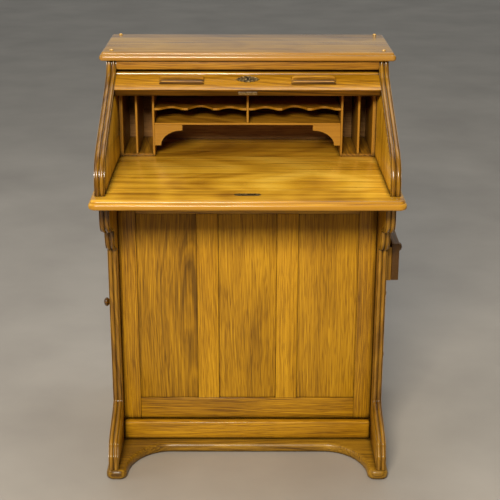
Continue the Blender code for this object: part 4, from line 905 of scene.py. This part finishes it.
# ---------------------------------------------------------------- curtain
def slats():
    """Twelve slats with rounded faces on strips of canvas.

    A slat's section is a flat back under an arch: its edge thickness, and over it a rise that falls off
    as (1 - |t|^4)^(1/3), with t across the slat's width."""
    reach = corners("tambour_slat_01")[1][0]
    half = SLAT_PITCH / 2 - HAIR
    t = np.linspace(-1, 1, 15)
    arch = SLAT_EDGE + (SLAT_RISE - SLAT_EDGE) * np.clip(1 - np.abs(t) ** 4, 0, 1) ** (1 / 3)
    section = np.concatenate([np.stack([t * half, arch], -1), [(half, SLAT_BACK), (-half, SLAT_BACK)]])
    for node in [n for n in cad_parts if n.startswith("tambour")]:
        numbers = [int(part) for part in node.split("_") if part.isdigit()]
        first, last = numbers[0], numbers[-1]
        body = "curtain_%02d" % first
        for number in range(first, last + 1):
            place = on_track(OPEN_TOP + (number - 0.5) * SLAT_PITCH)
            loft("slat_%02d" % number, moved(side_by_side(section, (-reach, reach)), place), slat_oak, body,
                 number * 0.43, node if number == first else (), "oak_slats")
        start = on_track(OPEN_TOP + (first - 0.5) * SLAT_PITCH)
        wide, length = reach - CANVAS_SHORT, (last - first) * SLAT_PITCH
        outline = rounded_rectangle((-wide, -half), (wide, length + half), 0.001, 2)
        strip = raised(outline, (0.0002, CANVAS_FRONT))
        loft("canvas_%02d" % first, moved(strip, start), canvas, body, slot="oak_slats")


def lift_rail():
    """Lift rail, with its lifts, keyhole plate, lock and bolts.

    The section runs from the back of the foot, up the face with a thin bead under its top, and back. The
    foot is cut to lie flat over the board when the rail is shut: a point that stands p out of the rail
    meets it at (gap - p cos a) / sin a, with a the shut rail's heading."""
    rail = on_track(OPEN_TOP - RAIL_LENGTH)
    half = corners("lift_rail")[1][0]
    lean = closed_lean()
    face, top_y, arris = RAIL_FRONT, RAIL_LENGTH - HAIR, 0.0012
    back_foot, arris_foot, face_foot = [
        (FOOT_GAP - proud * math.cos(lean)) / math.sin(lean) for proud in (-RAIL_BEHIND, face - arris, face)]
    bead = 0.0622               # hollow of the thin bead, along the rail
    section = np.array([
        (back_foot, -RAIL_BEHIND), (arris_foot, face - arris), (face_foot + 0.0004, face - 0.0003),
        (face_foot + 0.0016, face), (bead - 0.0027, face), (bead - 0.0017, face - 0.0006),
        (bead - 0.0010, face - 0.0022), (bead, face - 0.0030), (bead + 0.0010, face - 0.0022),
        (bead + 0.0018, face - 0.0006), (bead + 0.0028, face), (top_y - 0.0030, face),
        (top_y - 0.0009, face - 0.0009), (top_y, face - 0.0030), (top_y, -RAIL_BEHIND)])
    rings = moved(side_by_side(section, (-half, half)), rail)
    body = loft("lift_rail_moulded", rings, rail_oak, "curtain_rail", 0.18, "lift_rail", sharp=28.0)
    down = section_normal(rail, section[0], section[1])
    normals = vectors(body.data.polygons, "normal")
    # The underside of the foot, the face that lands on the board, takes the very dark finish.
    patches(body, (np.abs(normals @ down) > 0.97) & (normals[:, 2] < 0))
    lock_pocket(body, rail, down)
    lifts(rail)
    keyhole_plate(rail)
    remake("lock_case", steel)
    remake("lock_bolts", steel)


def lock_pocket(piece, rail, down):
    """Cut the lock's pocket: the lock case 3% larger all round, and longer where it leaves the foot."""
    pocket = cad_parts["lock_case"].data.copy()
    points = vectors(pocket.vertices, "co")
    middle = points.mean(0)
    points = middle + (points - middle) * 1.03
    points[(points - middle) @ down > 0] -= np.array(rail.to_3x3().col[1]) * 0.010
    pocket.vertices.foreach_set("co", points.astype(np.float32).ravel())
    pocket.update()
    tool = bpy.data.objects.new("lock_pocket", pocket)
    bpy.context.scene.collection.objects.link(tool)
    carve(piece, tool)


def section_normal(matrix, first, second):
    """Outward normal, in the world, of a section's side from its second to its first point."""
    step = Vector((0.0, *(first - second)))
    return np.array(matrix.to_3x3() @ step.cross(Vector((1.0, 0.0, 0.0))).normalized())


def patches(piece, chosen):
    """Put the very dark foot finish on the chosen faces of a piece."""
    piece.data.materials.append(dark_foot_and_groove_shade_oak)
    piece.data.polygons.foreach_set("material_index", chosen.astype(np.int32))


def closed_lean():
    """Heading of the shut lift rail: its foot stands on the board and its far end on the track."""
    distances = np.linspace(0.0, RAIL_LENGTH * 1.5, 4000)
    points, _, _ = along(TRACK_START, 90.0, TRACK, distances)
    reach = np.linalg.norm(points - points[0], axis=1)
    head = points[np.searchsorted(reach, RAIL_LENGTH)] - points[0]
    return math.atan2(head[1], head[0])


LIFT_SECTION = (                # along the rail from the lift's foot, and height over the rail's face
    (0.0000, -0.0006), (0.0000, 0.0042), (0.0012, 0.0062), (0.0036, 0.0068), (0.0058, 0.0056),
    (0.0070, 0.0034), (0.0092, 0.0016), (0.0122, 0.0012), (0.0146, 0.0030), (0.0158, 0.0072),
    (0.0168, 0.0108), (0.0186, 0.0120), (0.0206, 0.0114), (0.0248, 0.0072), (0.0300, 0.0030),
    (0.0310, 0.0016), (0.0310, -0.0006),
)


def lifts(rail):
    """Two carved lifts: a lip, a finger groove and an upper bar, rounded off at both ends.

    Near an end the height over the rail shrinks by sqrt(1 - t^2), with t growing to 1 at the end."""
    section = np.array(LIFT_SECTION)
    lift_foot, end_round = 0.018, 0.008
    inset = np.array([0.0, 0.0012, 0.003, 0.005, end_round])
    fall = np.sqrt(np.clip(1 - (1 - inset / end_round) ** 2, 0.12, 1))
    shares = np.concatenate([fall, fall[::-1]])
    for side in ("left", "right"):
        low, high = corners("lift_handle_" + side)
        stations = np.concatenate([low[0] + inset, (high[0] - inset)[::-1]])
        rings = np.empty((len(stations), len(section), 3))
        rings[:, :, 0] = stations[:, None]
        rings[:, :, 1] = lift_foot + section[:, 0]
        rings[:, :, 2] = RAIL_FRONT + section[:, 1] * np.where(section[:, 1] > 0, shares[:, None], 1.0)
        piece = loft("carved_lift_" + side, moved(rings, rail), rail_oak, "curtain_rail", 0.6 + low[0],
                     "lift_handle_" + side, sharp=35.0)
        across = moved(vectors(piece.data.polygons, "center"), rail.inverted())[:, 1] - lift_foot
        # Painted shade: the finger groove and the lift's lower end take the very dark finish, standing in for
        # the shade inside them.
        groove = (across > 0.0068) & (across < 0.0150)
        patches(piece, groove | (across < 0.001))


def keyhole_plate(rail):
    """Pointed oval plate with a lobed rim and scrolls in relief, and its keyhole.

    In polar rings the rim's radius is (|cos a|^1.25 + |sin a|^1.6)^(-1/1.42), stretched to the plate, with
    14 lobes 7% deep. At the share r of that radius the relief is a wave cos(7a + 9r) between two ridges,
    each exp(-(distance / width)^2): the rim's bead at 0.93 and the boss round the keyhole at 0.24."""
    low, high = corners("escutcheon")
    half_x, half_y, thick, up_the_rail = (high[0] - low[0]) / 2, 0.0140, 0.0018, 0.038
    turn = np.linspace(0, 2 * np.pi, 160, endpoint=False)
    c, s = np.cos(turn), np.sin(turn)
    pointed = 1 / (np.abs(c) ** 1.25 + np.abs(s) ** 1.6) ** (1 / 1.42)
    lobes = 1 + 0.07 * np.cos(14 * turn)
    edge = np.stack([c * pointed * half_x / pointed[0], s * pointed * half_y], -1) * lobes[:, None] / 1.07
    rings = [np.hstack([edge, np.zeros((160, 1))])]
    for r in np.linspace(1.0, 0.04, 26):
        scroll = np.cos(7 * turn + 9 * r) * np.sin(np.pi * np.clip((r - 0.34) / 0.5, 0, 1))
        bead = np.exp(-((r - 0.93) / 0.05) ** 2)
        boss = np.exp(-((r - 0.24) / 0.06) ** 2)
        rounded_off = min(1.0, (1.02 - r) / 0.06 + 0.4)
        height = thick * (0.45 + 0.30 * scroll + 0.45 * bead + 0.5 * boss) * rounded_off
        rings.append(np.hstack([edge * r, height[:, None]]))
    centre = rail @ Matrix.Translation((0.0, up_the_rail, RAIL_FRONT + 0.0002))
    plate = moved(rings, centre)
    loft("keyhole_plate", plate, brass, "curtain_rail", 0, "escutcheon", "aged_brass", sharp=60.0)
    # Painted shade: a near black shape standing proud in the plate stands for the keyhole, which is not cut
    # through.
    slot_end = [(-0.0011, -0.0062), (0.0011, -0.0062)]
    hole = np.concatenate([quarter((0.0, 0.0012), (0.0026, 0.0026), -50, 230), slot_end])
    shadow = moved(raised(hole, (0.0, 0.00215)), centre)
    loft("keyhole_shadow", shadow, painted_hole_shade, "curtain_rail", slot="aged_brass")
    for side, x in (("left", -0.0225), ("right", 0.0225)):
        screw("plate_pin_" + side, centre @ Matrix.Translation((x, 0, 0.0012)), 0.0017, "curtain_rail")


# ---------------------------------------------------------------- pigeonholes
THIN_BOARDS = {                 # by the start of a node's name
    "pigeonhole_top": thin["x"], "lower_shelf": thin["x"], "upper_shelf": thin["x"], "spandrel": thin["x"],
    "centre_divider": thin["z"], "outer_upright": thin["z"], "inner_upright": thin["z"],
    "slot_divider": thin["z"], "drawer_housing": thin["z"], "drawer_wall": thin["z"],
    "slot_floor": thin["y"], "interior_back": back_oak,
}


def pigeonholes():
    """Give the thin inner boards, which keep their CAD shape, their finish."""
    for name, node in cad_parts.items():
        for start, material in THIN_BOARDS.items():
            if name.startswith(start):
                remake(name, material)
                node.data.shade_flat()


# ---------------------------------------------------------------- floor, light and camera
DESK_MIDDLE = Vector((0, 0, 0.6))
LAMPS = (                       # name, place, size, power in watts, colour
    ("key_over_camera", (-0.55, -3.4, 2.60), (1.2, 0.7), 190, "#fff3df"),
    ("fill_from_left", (-3.2, -0.6, 1.9), (2.0, 1.6), 22, "#f6f6ff"),
    ("soft_top", (0.3, 0.6, 3.4), (2.4, 2.0), 30, "#ffffff"),
)
CAMERA_PLACE = (-0.0023, -2.9072, 1.5609)
CAMERA_TURNS = (-0.2312, 70.416, 0.1344)        # pan, tilt up from straight down, and roll, in degrees
SENSOR_WIDTH = 36.0             # millimetres, as the lens
LENS = 86.0
LENS_SHIFT = -0.0023            # part of the sensor's width


def stage():
    """Pale floor, pale surround and lamps."""
    bpy.ops.mesh.primitive_plane_add(size=14.0, location=(0, 2.0, -0.0005))
    floor = bpy.context.object
    floor.name = "pale_floor"
    material, tree, shader = start_material("pale_concrete_floor")
    cloud = add(tree, "TexNoise", add(tree, "TexCoord").outputs["Object"], Scale=2.2, Detail=5.0)
    colour = add(tree, "ValToRGB", cloud, stops=[(0.3, "#98928a"), (0.7, "#aaa49b")])
    fill(tree, shader, Roughness=0.55, Base_Color=colour)
    floor.data.materials.append(material)
    surround()
    for lamp in LAMPS:
        light_lamp(*lamp)
    bpy.context.scene.view_settings.view_transform = "Standard"


def surround():
    """Soft grey light from all round, brighter above and behind the desk."""
    world = bpy.data.worlds.new("pale_surround")
    bpy.context.scene.world = world
    world.use_nodes = True
    tree = world.node_tree
    way = add(tree, "SeparateXYZ", add(tree, "TexCoord").outputs["Generated"]).outputs
    lift = add(tree, "Math.MULTIPLY_ADD", way[1], 0.32, add(tree, "Math.MULTIPLY_ADD", way[2], 0.35, 0.42))
    shades = add(tree, "ValToRGB", lift, stops=[(0.1, "#3a3b3c"), (0.5, "#7d7e7e"), (0.9, "#c2c3c1")])
    fill(tree, tree.nodes["Background"], Color=shades.outputs[0], Strength=0.8)


def light_lamp(name, place, size, power, colour):
    """A rectangular lamp that looks at the middle of the desk."""
    data = bpy.data.lights.new(name, "AREA")
    data.shape = "RECTANGLE"
    data.size, data.size_y = size
    data.energy = power
    data.color = linear(colour)[:3]
    light = bpy.data.objects.new(name, data)
    light.location = place
    light.rotation_euler = (DESK_MIDDLE - Vector(place)).to_track_quat("-Z", "Y").to_euler()
    bpy.context.scene.collection.objects.link(light)


def camera():
    """Camera a little over desk height, looking down at the front."""
    data = bpy.data.cameras.new("camera")
    data.sensor_width = SENSOR_WIDTH
    data.lens = LENS
    data.shift_x = LENS_SHIFT
    view = bpy.data.objects.new("camera", data)
    bpy.context.scene.collection.objects.link(view)
    pan, tilt, roll = [math.radians(angle) for angle in CAMERA_TURNS]
    turn = Matrix.Rotation(pan, 4, "Z") @ Matrix.Rotation(tilt, 4, "X") @ Matrix.Rotation(roll, 4, "Z")
    view.matrix_world = Matrix.Translation(CAMERA_PLACE) @ turn
    bpy.context.scene.camera = view


camera()
stage()
writing_board()
top()
ends_and_gables()
front()
base()
side_frames()
drawers()
door()
framed_back("lower_back", 2)
framed_back("upper_back", 1)
slats()
lift_rail()
pigeonholes()
